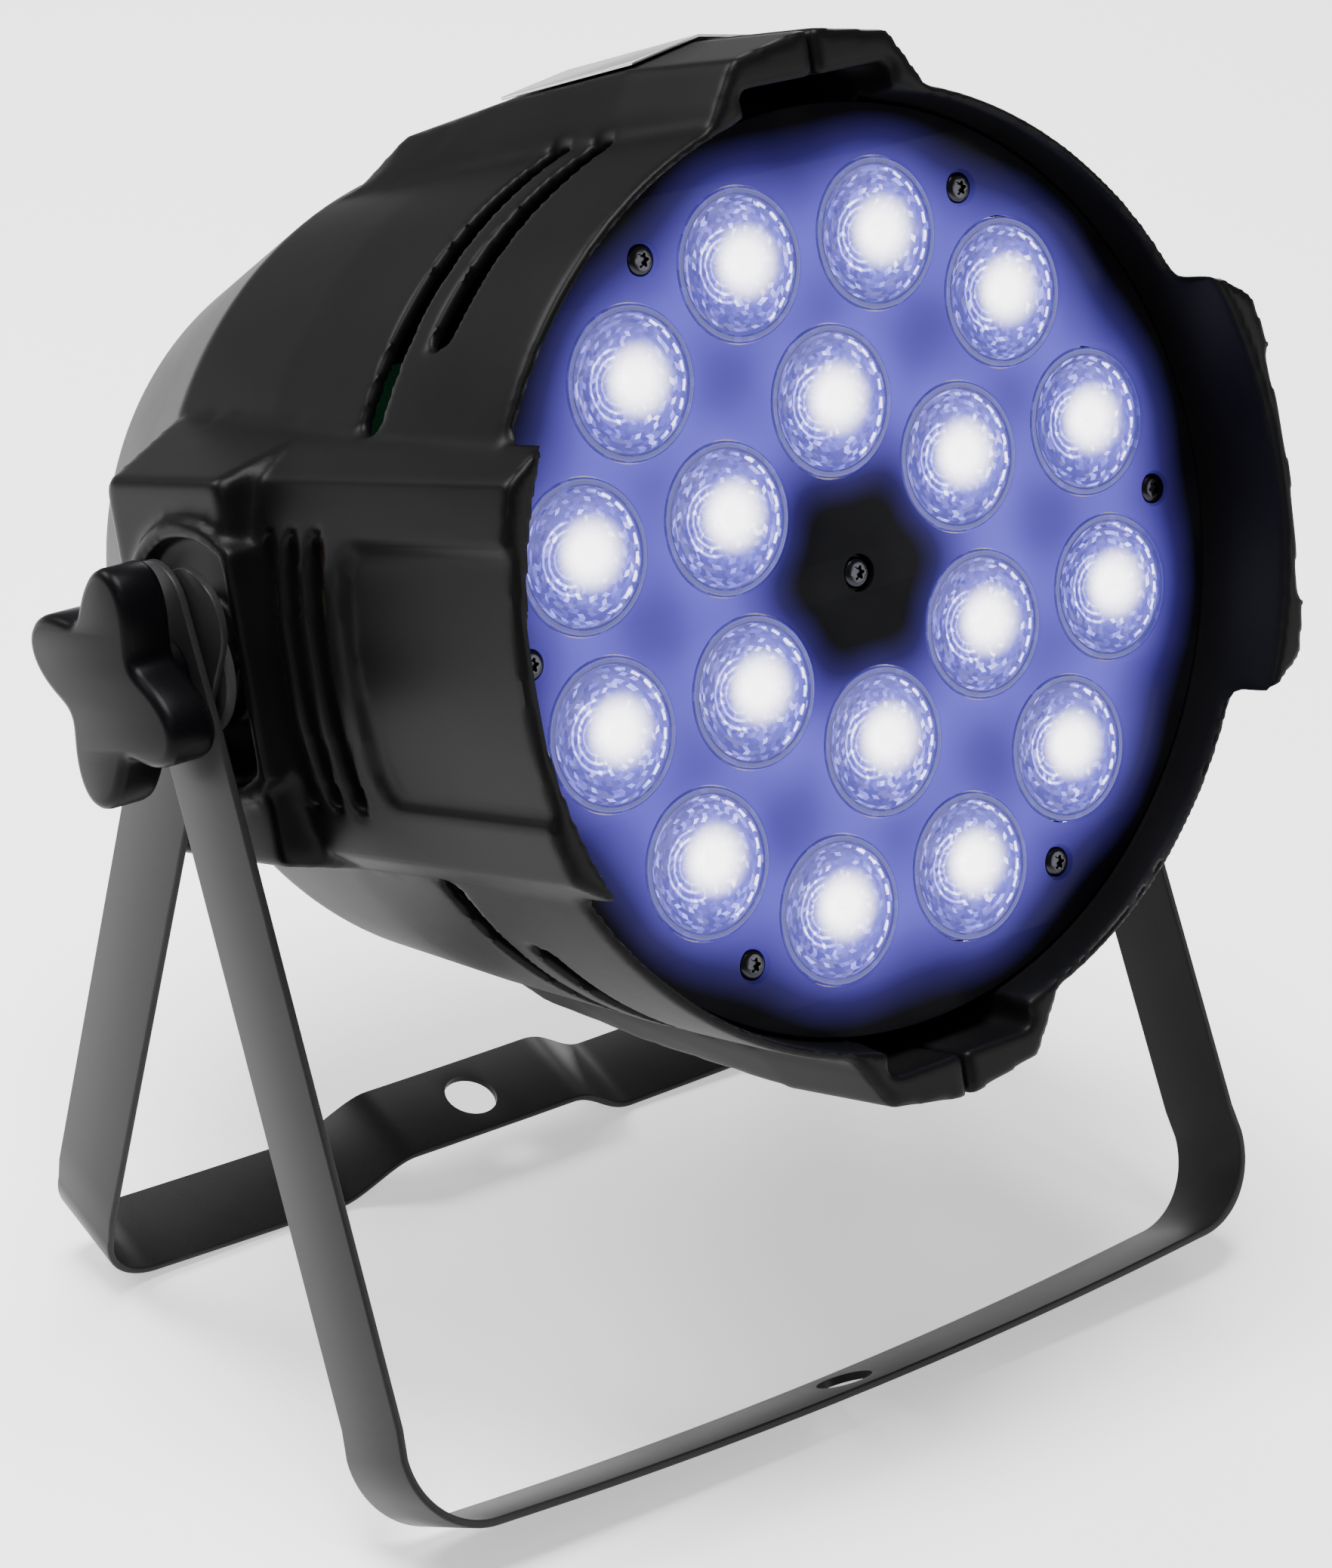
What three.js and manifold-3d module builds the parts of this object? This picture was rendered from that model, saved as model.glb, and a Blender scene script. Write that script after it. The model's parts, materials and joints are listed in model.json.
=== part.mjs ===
// Par can light: a clamshell can with eighteen lit lenses, slung between two pivoting flat-bar brackets.
// Millimetres, +Z up, face towards -Y. The can is drawn about its own optical axis, then tilted.
import * as THREE from 'three';
import { mergeVertices } from 'three/addons/utils/BufferGeometryUtils.js';
import Module from 'manifold-3d';

const wasm = await Module();
wasm.setup();

// Stance
const PIVOT_Y = -4.56;
const PIVOT_Z = 191.92;
const CAN_TILT_DEG = -18.25;
const FRONT_TILT_DEG = -28.5;
const REAR_TILT_DEG = 17.24;
const AXIS_BEFORE_PIVOT = 3.4;
const PIVOT_ABOVE_AXIS = 2.8;

// Can, measured along its axis from a datum 94.3 mm behind the face panel
const GAP = 0.3;
const PANEL_FRONT_Y = -94.3;
const PANEL_THICK = 3;
const PANEL_R = 106.3;
const OUTER = [
  [109.4, -106.2], [110.6, -105], [110.3, -94], [108.8, -55.8], [105.1, -1.9],
  [100.7, 47], [80.3, 105.9], [69.6, 121.6], [67.8, 123.6],
];
const INNER = [
  [109.8, -121], [107, -91], [101.5, -91], [101.5, -88.6], [105.8, -87],
  [105.6, -55.8], [97.5, 47], [77.4, 105], [60, 108.5], [60, 113.5], [64.7, 113.5], [64.7, 125],
];
const BARREL_SEGMENTS = 48;

// Side pads and pivot blocks
const PAD_FRONT_Y = -119.9;
const PAD_ARC_R = 136.1;
const PAD_ARC_X = -20.6;
const PAD_HALF = 43.6;
const WINDOW_DEPTH = 2.3;
const WINDOW_HALF = 30;
const WINDOW_REAR_Y = -55.8;
const VENT_Y = [-45.6, -36, -26.5];
const VENT_WIDE = 5.2;
const VENT_HALF = 31.4;
const BLOCK_X = 118.5;
const BOSS_X = 121.5;
const BOSS_R = 33;
const BOSS_FRONT_Y = -23.6;
const BOSS_REAR_Y = 28.6;
const DISH_X = 115;
const DISH_WALL = 3.6;
const WASHER_R = 16;

// Arc slots in the barrel: y from, y to, angle from, angle to
const SLOTS = [[-53, -45.4, 28, 74], [-69.9, -62.3, 38.5, 74]];

// Face
const LENS_R = 17.4;
const LENS_RINGS = [[12, 77, 15], [6, 39.6, 30]];
const SCREW_RING_R = 92.6;

// Brackets: half width outside at the pivot and at the floor, length, bow, corner radius, joggle
const STRAP_WIDE = 25;
const STRAP_THICK = 2;
const STRAP_END = 26;
const FRONT = { top: 129, foot: 132.8, length: 211.6, bow: 5.2, corner: 21, joggle: 0 };
const REAR = { top: 126.5, foot: 122.2, length: 197.5, bow: 2.5, corner: 17, joggle: 10.2 };
const CLAMP_HOLE_R = 7.1;

// Knob
const KNOB_X0 = 136;
const KNOB_X1 = 148.5;
const KNOB_MEAN_R = 22.6;
const KNOB_LOBE = 7.6;
const KNOB_TURN_DEG = 67;

const deg = THREE.MathUtils.degToRad;

function finish(colour, roughness, metalness) {
  return new THREE.MeshStandardMaterial({ color: colour, roughness, metalness });
}

const FINISH = {
  shell: () => finish(0x141415, 0.42, 0),
  panel: () => finish(0x0b0b0e, 0.12, 0),
  lens: () => finish(0xe4e6ff, 0.08, 0),
  screw: () => finish(0x2b2b2d, 0.35, 1),
  steelBlack: () => finish(0x222224, 0.5, 0),
  knob: () => finish(0x19191a, 0.5, 0),
  label: () => finish(0xb4b4b2, 0.4, 0),
  alloy: () => finish(0xb8babd, 0.4, 1),
  board: () => finish(0xd8cfae, 0.6, 0),
  green: () => finish(0x1f4a34, 0.5, 0),
  dark: () => finish(0x1b1b1c, 0.6, 0),
  zinc: () => finish(0xa7a9ac, 0.35, 1),
  rubber: () => finish(0x101010, 0.85, 0),
  blueSocket: () => finish(0x2b4f9c, 0.5, 0),
  greySocket: () => finish(0x9a9da1, 0.5, 0),
  screen: () => finish(0x10221a, 0.1, 0),
  red: () => finish(0x9c1f1b, 0.5, 0),
};

// Closed body from a three.js geometry, turned outward
function solid(geometry) {
  const bare = geometry.index ? geometry.toNonIndexed() : geometry.clone();
  bare.deleteAttribute('normal');
  bare.deleteAttribute('uv');
  const merged = mergeVertices(bare, 1e-4);
  const spots = merged.attributes.position.array;
  const corners = merged.index.array;
  const faces = [];
  let volume = 0;
  const [a, b, c] = [new THREE.Vector3(), new THREE.Vector3(), new THREE.Vector3()];
  for (let i = 0; i < corners.length; i += 3) {
    const [p, q, r] = [corners[i], corners[i + 1], corners[i + 2]];
    if (p === q || q === r || r === p) continue;
    faces.push(p, q, r);
    a.fromArray(spots, 3 * p);
    b.fromArray(spots, 3 * q);
    c.fromArray(spots, 3 * r);
    volume += a.dot(b.cross(c));
  }
  if (volume < 0) faces.reverse();
  const mesh = new wasm.Mesh({
    numProp: 3,
    vertProperties: Float32Array.from(spots),
    triVerts: Uint32Array.from(faces),
  });
  return new wasm.Manifold(mesh);
}

function geometryOf(body) {
  const mesh = body.getMesh();
  const geometry = new THREE.BufferGeometry();
  geometry.setAttribute('position', new THREE.Float32BufferAttribute(mesh.vertProperties, 3));
  geometry.setIndex(new THREE.Uint32BufferAttribute(mesh.triVerts, 1));
  const flat = geometry.toNonIndexed();
  flat.computeVertexNormals();
  return flat;
}

function named(name, body, material) {
  const mesh = new THREE.Mesh(geometryOf(body), material);
  mesh.name = name;
  return mesh;
}

function joined(first, ...rest) {
  return rest.reduce((sum, item) => sum.add(item), first);
}

function without(first, ...rest) {
  return rest.reduce((left, item) => left.subtract(item), first);
}

// Round bar along one axis from one coordinate to another
function rod(axis, radius, from, to, at = [0, 0], segments = 16, endRadius = radius) {
  const bar = new THREE.CylinderGeometry(endRadius, radius, to - from, segments);
  bar.translate(0, (from + to) / 2, 0);
  if (axis === 'x') bar.rotateZ(-Math.PI / 2);
  if (axis === 'z') bar.rotateX(Math.PI / 2);
  if (axis === 'x') bar.translate(0, at[0], at[1]);
  if (axis === 'y') bar.translate(at[0], 0, at[1]);
  if (axis === 'z') bar.translate(at[0], at[1], 0);
  return solid(bar);
}

function block(x0, x1, y0, y1, z0, z1) {
  const box = new THREE.BoxGeometry(x1 - x0, y1 - y0, z1 - z0);
  box.translate((x0 + x1) / 2, (y0 + y1) / 2, (z0 + z1) / 2);
  return solid(box);
}

function outline(points) {
  return new THREE.Shape(points.map(([u, v]) => new THREE.Vector2(u, v)));
}

// Plate outline in (y, z), carried along x
function plateX(points, x0, x1, bevel = 0) {
  const plate = new THREE.ExtrudeGeometry(outline(points), {
    depth: x1 - x0 - 2 * bevel,
    bevelEnabled: bevel > 0,
    bevelThickness: bevel,
    bevelSize: bevel,
    bevelOffset: -bevel,
    bevelSegments: 1,
  });
  const turn = new THREE.Matrix4().makeBasis(
    new THREE.Vector3(0, 1, 0), new THREE.Vector3(0, 0, 1), new THREE.Vector3(1, 0, 0));
  plate.applyMatrix4(turn);
  plate.translate(x0 + bevel, 0, 0);
  return solid(plate);
}

// Outline carried through stations; each station maps (u, v) to a point
function loft(points, stations) {
  const last = stations.length - 1;
  const run = new THREE.ExtrudeGeometry(outline(points), { depth: last, steps: last, bevelEnabled: false });
  const spots = run.attributes.position;
  for (let i = 0; i < spots.count; i += 1) {
    const place = stations[Math.round(spots.getZ(i))];
    spots.setXYZ(i, ...place(spots.getX(i), spots.getY(i)));
  }
  return solid(run);
}

function turned(profile, segments) {
  return solid(new THREE.LatheGeometry(profile.map(([r, y]) => new THREE.Vector2(r, y)), segments));
}

function closedProfile(profile) {
  return [[0, profile[0][1]], ...profile, [0, profile[profile.length - 1][1]]];
}

function arc(cx, cy, radius, from, to, steps) {
  const points = [];
  for (let i = 0; i <= steps; i += 1) {
    const angle = deg(from + (to - from) * i / steps);
    points.push([cx + radius * Math.cos(angle), cy + radius * Math.sin(angle)]);
  }
  return points;
}

function roundedRect(u0, u1, v0, v1, radius, steps = 4) {
  return [
    ...arc(u1 - radius, v1 - radius, radius, 0, 90, steps),
    ...arc(u0 + radius, v1 - radius, radius, 90, 180, steps),
    ...arc(u0 + radius, v0 + radius, radius, 180, 270, steps),
    ...arc(u1 - radius, v0 + radius, radius, 270, 360, steps),
  ];
}

function radiusAt(y) {
  for (let i = 1; i < OUTER.length; i += 1) {
    const [r0, y0] = OUTER[i - 1];
    const [r1, y1] = OUTER[i];
    if (y <= y1) return r0 + (r1 - r0) * (y - y0) / (y1 - y0);
  }
  return OUTER[OUTER.length - 1][0];
}

// Gabled ridge over the seam, for the top; the bottom one is its mirror
function ridge(side) {
  const section = [
    [-31.5, 106], [-28.9, 110.5], [-22.3, 119.6], [0, 123.2], [22.3, 119.6], [28.9, 110.5], [31.5, 106],
    [31, 92], [-31, 92],
  ];
  const heights = [[-106.2, 119.6], [-67.4, 119.4], [-11.9, 114], [5.8, 111.2], [26.6, 108.3], [44, 96]];
  const stations = heights.map(([y, height]) => {
    const base = radiusAt(y) - 4.6;
    const stretch = (height - base) / 13.6;
    return (u, v) => [u, y, side * (v < 100 ? base - 14 : base + (v - 106) * stretch)];
  });
  return loft(section, stations);
}

function ridgeHollow(side) {
  const hollow = plateX([[-88, 90], [-88, 115.4], [-62, 115.4], [18, 105.4], [18, 90]], -21, 21);
  const mouth = plateX([[-108, 90], [-108, 112.9], [-96, 112.3], [-96, 90]], -22, 22);
  return side > 0 ? hollow.add(mouth) : hollow.add(mouth).mirror([0, 0, 1]);
}

// Pad on the +x side with its pivot block and dished boss
function pad() {
  const rise = Math.asin(PAD_HALF / PAD_ARC_R) * 180 / Math.PI;
  const face = arc(PAD_ARC_X, 0, PAD_ARC_R, -rise, rise, 6);
  const section = [...face, [99.2, 49.4], [88, 53.5], [88, -53.5], [99.2, -49.4]];
  const strip = plateYUp(section, PAD_FRONT_Y, 24);
  const root = loft(roundedRect(-1, 1, -1, 1, 0.16, 2), [
    (u, v) => [88, 11 + 36 * u, 53 * v],
    (u, v) => [BLOCK_X - 1.2, 5 + 25.4 * u, 45 * v],
    (u, v) => [BLOCK_X, 5 + 24.4 * u, 44 * v],
  ]);
  return joined(strip, root, boss(BOSS_R, 94, BOSS_X, BOSS_FRONT_Y, BOSS_REAR_Y));
}

function plateYUp(points, y0, y1) {
  const place = (y) => (u, v) => [u, y, v];
  return loft(points, [place(y0), place(y1)]);
}

// Round plate about the pivot with its front and rear cut straight
function boss(radius, x0, x1, front, rear) {
  const slab = block(x0 - 1, x1 + 1, front, rear, -60, 60);
  return rod('x', radius, x0, x1, [-AXIS_BEFORE_PIVOT, PIVOT_ABOVE_AXIS], 28).intersect(slab);
}

function padCuts() {
  const [py, pz] = [-AXIS_BEFORE_PIVOT, PIVOT_ABOVE_AXIS];
  const dish = boss(
    BOSS_R - DISH_WALL, DISH_X, BOSS_X + 2, BOSS_FRONT_Y + DISH_WALL, BOSS_REAR_Y - DISH_WALL);
  const seat = rod('x', WASHER_R - 2, DISH_X - 1, 121.2, [py, pz], 18);
  const window = plateX(
    roundedRect(PAD_FRONT_Y - 12, WINDOW_REAR_Y, -WINDOW_HALF, WINDOW_HALF, 7.7, 3), 100, 126);
  const below = rod('y', PAD_ARC_R - WINDOW_DEPTH, -140, 0, [PAD_ARC_X, 0], 54);
  const pocket = rod('y', PAD_ARC_R - 5.7, -86, 14, [PAD_ARC_X, 0], 40)
    .intersect(block(90, 120, -90, 20, -41, 41))
    .subtract(rod('x', 14, 80, 130, [py, pz], 12));
  const half = VENT_WIDE / 2;
  const vents = VENT_Y.map((y) => plateX(
    roundedRect(y - half, y + half, -VENT_HALF, VENT_HALF, half - 0.05, 3), 96, 126));
  return joined(dish.subtract(seat), window.subtract(below), pocket, ...vents);
}

function arcSlot([y0, y1, from, to]) {
  const half = (y1 - y0) / 2;
  const ease = THREE.MathUtils.radToDeg(half / 107);
  const band = [...arc(0, 0, 128, from + ease, to, 4), ...arc(0, 0, 92, to, from + ease, 4)];
  const end = new THREE.CylinderGeometry(half, half, 40, 10);
  end.rotateZ(-Math.PI / 2);
  end.translate(110, (y0 + y1) / 2, 0);
  end.rotateY(-deg(from + ease));
  return joined(plateYUp(band, y0, y1), solid(end));
}

function shell() {
  const barrel = turned(closedProfile(OUTER), BARREL_SEGMENTS);
  const sidePad = pad();
  const outside = joined(barrel, ridge(1), ridge(-1), sidePad, sidePad.mirror([1, 0, 0]));
  const [py, pz] = [-AXIS_BEFORE_PIVOT, PIVOT_ABOVE_AXIS];
  const side = padCuts();
  const core = rod('x', 14, 92, 112, [py, pz], 12);
  let body = without(
    outside,
    turned(closedProfile(INNER), BARREL_SEGMENTS),
    ridgeHollow(1), ridgeHollow(-1),
    side, side.mirror([1, 0, 0]),
  );
  for (const [y, z] of [[-52, -28], [-52, 28], [30, -28], [30, 28]]) {
    const post = rod('x', 3.4, 88.9, y < 0 ? 109 : 97, [y, z], 6);
    body = joined(body, post, post.mirror([1, 0, 0]));
  }
  body = joined(body, core, core.mirror([1, 0, 0]));
  const bore = rod('x', 4.4, 99, 130, [py, pz], 16);
  body = without(body, bore, bore.mirror([1, 0, 0]));
  for (const slot of SLOTS.map(arcSlot)) {
    const mirrored = slot.mirror([1, 0, 0]);
    body = without(body, slot, mirrored, slot.mirror([0, 0, 1]), mirrored.mirror([0, 0, 1]));
  }
  return body;
}

function halves() {
  const whole = shell();
  const left = whole.intersect(block(-200, -GAP / 2, -200, 200, -200, 200));
  const right = whole.intersect(block(GAP / 2, 200, -200, 200, -200, 200));
  return [named('shell_left', left, FINISH.shell()), named('shell_right', right, FINISH.shell())];
}

// Blank rating plate folded over the gable of the top ridge
function labelPlate() {
  const lift = 0.3;
  const section = [[-20, 0], [0, 3.23], [20, 0], [20, 0.8], [0, 4.03], [-20, 0.8]];
  const stations = [[-66, 119.97], [-39.2, 117.2], [-13, 114.6]].map(([y, height]) => (
    (u, v) => [u, y, height + lift + 0.06 + v]
  ));
  return named('label_plate', loft(section, stations), FINISH.label());
}

function lensSpots() {
  const spots = [];
  for (const [count, radius, first] of LENS_RINGS) {
    for (let i = 0; i < count; i += 1) {
      const angle = deg(first + 360 * i / count);
      spots.push([radius * Math.cos(angle), radius * Math.sin(angle)]);
    }
  }
  return spots;
}

function screwSpots() {
  const spots = [[0, 0]];
  for (let i = 0; i < 6; i += 1) {
    spots.push([SCREW_RING_R * Math.cos(deg(60 * i)), SCREW_RING_R * Math.sin(deg(60 * i))]);
  }
  return spots;
}

function facePanel() {
  const back = PANEL_FRONT_Y + PANEL_THICK;
  let panel = rod('y', PANEL_R, PANEL_FRONT_Y, back, [0, 0], 48);
  for (const spot of lensSpots()) {
    panel = panel.subtract(rod('y', LENS_R + 0.35, PANEL_FRONT_Y - 1, back + 1, spot, 16));
  }
  for (const spot of screwSpots()) {
    panel = panel.subtract(rod('y', 2, PANEL_FRONT_Y - 1, back + 1, spot, 8));
    panel = panel.subtract(rod('y', 4.4, PANEL_FRONT_Y - 1, PANEL_FRONT_Y + 1.7, spot, 12));
  }
  return named('face_panel', panel, FINISH.panel());
}

function lenses() {
  const profile = [
    [LENS_R, -94.1], [LENS_R, -91.8], [13.2, -83], [6.5, -75.2],
  ];
  return lensSpots().map(([x, z], i) => {
    const cup = turned(closedProfile(profile), 16).translate([x, 0, z]);
    const ring = i < 12 ? 'outer' : 'inner';
    const number = i < 12 ? i + 1 : i - 11;
    return named(`lens_${ring}_${String(number).padStart(2, '0')}`, cup, FINISH.lens());
  });
}

function faceScrews() {
  const head = [[0, -94.1], [2.6, -94.1], [3.6, -93.3], [3.6, -92.9], [1.6, -92.9], [1.6, -82], [0, -82]];
  const screw = turned(head, 10).subtract(block(-2, 2, -95, -93.5, -0.4, 0.4));
  return screwSpots().map(([x, z], i) => (
    named(`face_screw_${i + 1}`, screw.translate([x, 0, z]), FINISH.screw())
  ));
}

function lightEngine() {
  let board = rod('y', 99, -74.9, -73.3, [0, 0], 32);
  let sink = rod('y', 103, -73, -69, [0, 0], 32);
  for (const spot of screwSpots()) {
    board = board.subtract(rod('y', 4, -80, -70, spot, 8));
    sink = sink.add(rod('y', 3.6, -91, -72, spot, 8)).subtract(rod('y', 1.95, -92, -80, spot, 8));
  }
  for (let i = -6; i <= 6; i += 1) {
    const x = 11 * i;
    const reach = Math.sqrt(78 * 78 - x * x);
    sink = sink.add(block(x - 1, x + 1, -70, -28, -reach, reach));
  }
  return [named('led_board', board, FINISH.board()), named('heat_sink', sink, FINISH.alloy())];
}

function fan() {
  let frame = plateYUp(roundedRect(-46, 46, -46, 46, 5, 2), -27.7, -2.7);
  frame = frame.subtract(rod('y', 43.5, -30, -5.2, [0, 0], 28));
  frame = frame.subtract(rod('y', 43.5, -10, 0, [0, 0], 28).subtract(rod('y', 18, -10, 0, [0, 0], 14))
    .subtract(block(-50, 50, -10, 0, -2.2, 2.2)).subtract(block(-2.2, 2.2, -10, 0, -50, 50)));
  let rotor = rod('y', 17.5, -26, -5.8, [0, 0], 16);
  for (let i = 0; i < 7; i += 1) {
    const blade = new THREE.BoxGeometry(26, 1.6, 19);
    blade.rotateX(deg(38));
    blade.translate(29, -15.8, 0);
    blade.rotateY(deg(360 * i / 7));
    rotor = rotor.add(solid(blade));
  }
  return [named('fan_frame', frame, FINISH.dark()), named('fan_rotor', rotor, FINISH.dark())];
}

function boards() {
  let power = block(-88.6, -87, -60, 38, -36, 36);
  power = joined(
    power,
    block(-88, -62, -20, 8, -24, 6),
    block(-88, -70, 12, 34, -30, -6),
    rod('x', 8, -88, -60, [-8, 22], 14),
    rod('x', 6, -88, -66, [14, 18], 14),
  );
  let driver = block(87, 88.6, -60, 38, -36, 36);
  driver = joined(
    driver,
    block(72, 88, -18, 4, -30, 0),
    block(76, 88, 10, 34, -28, 20),
    rod('x', 6, 68, 88, [-8, 16], 14),
  );
  const control = block(-30, 30, 104.9, 106.5, 2, 46);
  return [
    named('power_board', power, FINISH.board()),
    named('driver_board', driver, FINISH.green()),
    named('control_board', control, FINISH.green()),
  ];
}

function cable(name, points, radius, material) {
  const path = new THREE.CatmullRomCurve3(points.map((p) => new THREE.Vector3(...p)));
  const section = new THREE.Shape(arc(0, 0, radius, 0, 300, 5).map(([u, v]) => new THREE.Vector2(u, v)));
  const tube = new THREE.ExtrudeGeometry(section, { steps: 14, bevelEnabled: false, extrudePath: path });
  return named(name, solid(tube), material);
}

const SOCKETS = [
  ['dmx_in', -34, -14, 'zinc'], ['dmx_out', 34, -14, 'zinc'],
  ['power_inlet', -15.5, -42, 'blueSocket'], ['power_outlet', 15.5, -42, 'greySocket'],
];
const SIGNAL_PINS = [[-3.8, 1.5], [3.8, 1.5], [0, -4]];
const LED_CABLE = [
  [-91, -64, 12], [-95, -50, 17], [-97, -38, 26], [-97, -26, 33],
  [-95, -8, 30], [-93, 10, 20], [-91, 24, 14],
];
const MAINS_CABLE = [[-15.5, 96, -42], [-24, 78, -44], [-52, 58, -40], [-74, 46, -22], [-79, 41.5, 0]];
const BUTTON_X = [-21, -7, 7, 21];
const BUTTON_Z = 10;
const FUSE_Z = -14;
const EYE_Z = 54.5;
const PANEL_POST_X = 26;
const PANEL_VENT_X = 46;
const PANEL_VENT_Z = [6, 13, 20, 27];

function rearPanel() {
  let plate = rod('y', 64.3, 113.8, 116.8, [0, 0], 40);
  for (const [, x, z] of SOCKETS) plate = plate.subtract(rod('y', 11.3, 110, 120, [x, z], 16));
  for (const x of BUTTON_X) plate = plate.subtract(rod('y', 4, 110, 120, [x, BUTTON_Z], 10));
  plate = plate.subtract(rod('y', 6.3, 110, 120, [0, FUSE_Z], 14));
  plate = plate.subtract(block(-21.3, 21.3, 110, 120, 23.7, 42.3));
  plate = plate.subtract(rod('y', 2.4, 110, 120, [0, EYE_Z], 8));
  for (const x of [-PANEL_POST_X, PANEL_POST_X]) {
    plate = joined(plate, rod('y', 2.6, 106.8, 114, [x, 17], 6), rod('y', 2.6, 106.8, 114, [x, 43], 6));
  }
  for (const x of [-PANEL_VENT_X, PANEL_VENT_X]) {
    for (const z of PANEL_VENT_Z) {
      plate = plate.subtract(block(x - 8, x + 8, 110, 120, z, z + 3));
    }
  }
  return named('rear_panel', plate, FINISH.steelBlack());
}

function rearFittings() {
  const parts = [];
  for (const [name, x, z, material] of SOCKETS) {
    const flange = rod('y', 13, 117.1, 119.1, [x, z], 20);
    let socket = flange.add(rod('y', 11, 99, 118, [x, z], 16));
    socket = socket.subtract(rod('y', 8.4, 104, 121, [x, z], 16));
    if (name === 'dmx_in') {
      for (const [dx, dz] of SIGNAL_PINS) {
        socket = socket.add(rod('y', 1.2, 103, 115.5, [x + dx, z + dz], 6));
      }
    }
    if (name === 'dmx_out') {
      let core = rod('y', 7.2, 103, 118.4, [x, z], 14);
      for (const [dx, dz] of SIGNAL_PINS) {
        core = core.subtract(rod('y', 1.5, 108, 120, [x + dx, z + dz], 6));
      }
      socket = socket.add(core);
    }
    if (name.startsWith('power')) {
      socket = socket.add(rod('y', 5, 103, 116.5, [x, z], 12));
      socket = socket.subtract(rod('y', 2.4, 108, 120, [x, z], 8));
      socket = socket.subtract(block(x - 10.2, x - 7, 106, 121, z - 1.6, z + 1.6));
    }
    parts.push(named(name, socket, FINISH[material]()));
  }
  BUTTON_X.forEach((x, i) => {
    const stem = rod('y', 3.6, 110.4, 118.6, [x, BUTTON_Z], 10);
    const collar = rod('y', 4.8, 110.4, 112.6, [x, BUTTON_Z], 10);
    parts.push(named(`menu_button_${i + 1}`, stem.add(collar), FINISH.knob()));
  });
  const screen = joined(
    block(-21, 21, 111, 116.6, 24, 42),
    block(-23, 23, 117.1, 118.4, 22, 44),
    block(-20, 20, 116, 117.6, 25, 41),
  );
  parts.push(named('display', screen, FINISH.screen()));
  const holder = rod('y', 6, 98, 118, [0, FUSE_Z], 12).add(rod('y', 8, 117.1, 119, [0, FUSE_Z], 16))
    .subtract(rod('y', 4.3, 102, 120, [0, FUSE_Z], 12));
  const cap = rod('y', 4, 106, 119.6, [0, FUSE_Z], 12).add(rod('y', 6.4, 119.3, 123.6, [0, FUSE_Z], 14))
    .subtract(block(-4.4, 4.4, 122.4, 125, FUSE_Z - 0.7, FUSE_Z + 0.7));
  parts.push(named('fuse_holder', holder, FINISH.dark()), named('fuse_cap', cap, FINISH.knob()));
  const loop = new THREE.TorusGeometry(6.2, 1.6, 6, 16);
  loop.rotateY(Math.PI / 2);
  loop.translate(0, 125.4, EYE_Z);
  const eye = joined(
    solid(loop),
    rod('y', 4.2, 117.1, 118.9, [0, EYE_Z], 12),
    rod('y', 2.1, 109, 119, [0, EYE_Z], 8),
  );
  parts.push(named('safety_eye', eye, FINISH.zinc()));
  return parts;
}

// Star knob on its bolt, +x side; the other side is mirrored
function knob() {
  const star = (shrink) => {
    const points = [];
    for (let i = 0; i < 28; i += 1) {
      const angle = 2 * Math.PI * i / 28;
      const reach = KNOB_MEAN_R + KNOB_LOBE * Math.cos(4 * angle) - shrink;
      const lean = angle + deg(KNOB_TURN_DEG);
      points.push([-reach * Math.cos(lean), reach * Math.sin(lean)]);
    }
    return points;
  };
  const hub = rod('x', 10, 129.6, KNOB_X1 - 3, [0, 0], 16);
  const hollow = plateX(star(3.2), KNOB_X0 - 1, KNOB_X1 - 5).subtract(rod('x', 10, 120, 160, [0, 0], 16));
  const boltHole = rod('x', 4.3, 120, 138, [0, 0], 14);
  return plateX(star(0), KNOB_X0, KNOB_X1, 2).subtract(hollow).add(hub).subtract(boltHole);
}

function pivotParts() {
  const bolt = rod('x', 4, 100, 136, [0, 0], 14).add(rod('x', 4, 136, 137.4, [0, 0], 14, 3));
  const washer = rod('x', WASHER_R, 121.5, 124.2, [0, 0], 24).subtract(rod('x', 4.5, 120, 126, [0, 0], 14));
  const parts = [];
  for (const [side, flip] of [['right', 1], ['left', -1]]) {
    const set = (body) => (flip < 0 ? body.mirror([1, 0, 0]) : body);
    parts.push(named(`knob_${side}`, set(knob()), FINISH.knob()));
    parts.push(named(`bolt_${side}`, set(bolt), FINISH.zinc()));
    parts.push(named(`washer_${side}`, set(washer), FINISH.rubber()));
  }
  for (const part of parts) part.position.set(0, -AXIS_BEFORE_PIVOT, PIVOT_ABOVE_AXIS);
  return parts;
}

// Centre line of a bent flat bar, one leg up, across the floor, and up the other leg
function barLine(spec) {
  const t = STRAP_THICK / 2;
  const foot = spec.foot - t;
  const legAt = (z) => spec.top - t + (spec.foot - spec.top) * Math.max(0, -z - 16) / spec.length;
  const floor = (x) => {
    const lift = spec.joggle * (1 - THREE.MathUtils.smoothstep(Math.abs(x), 26, 48));
    return -(spec.length - t) + spec.bow * (x / foot) ** 2 + lift;
  };
  const half = [[legAt(STRAP_END), STRAP_END], [legAt(-16), -16]];
  const reach = spec.corner;
  const bottom = floor(foot - reach);
  half.push(...arc(foot - reach, bottom + reach, reach, 0, -84, 5));
  const marks = spec.joggle ? [80, 50, 43, 37, 31, 24] : [80, 53, 27];
  marks.forEach((x) => half.push([x, floor(x)]));
  const left = half.map(([x, z]) => [-x, z]).reverse();
  return [...half, [0, floor(0)], ...left];
}

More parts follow.
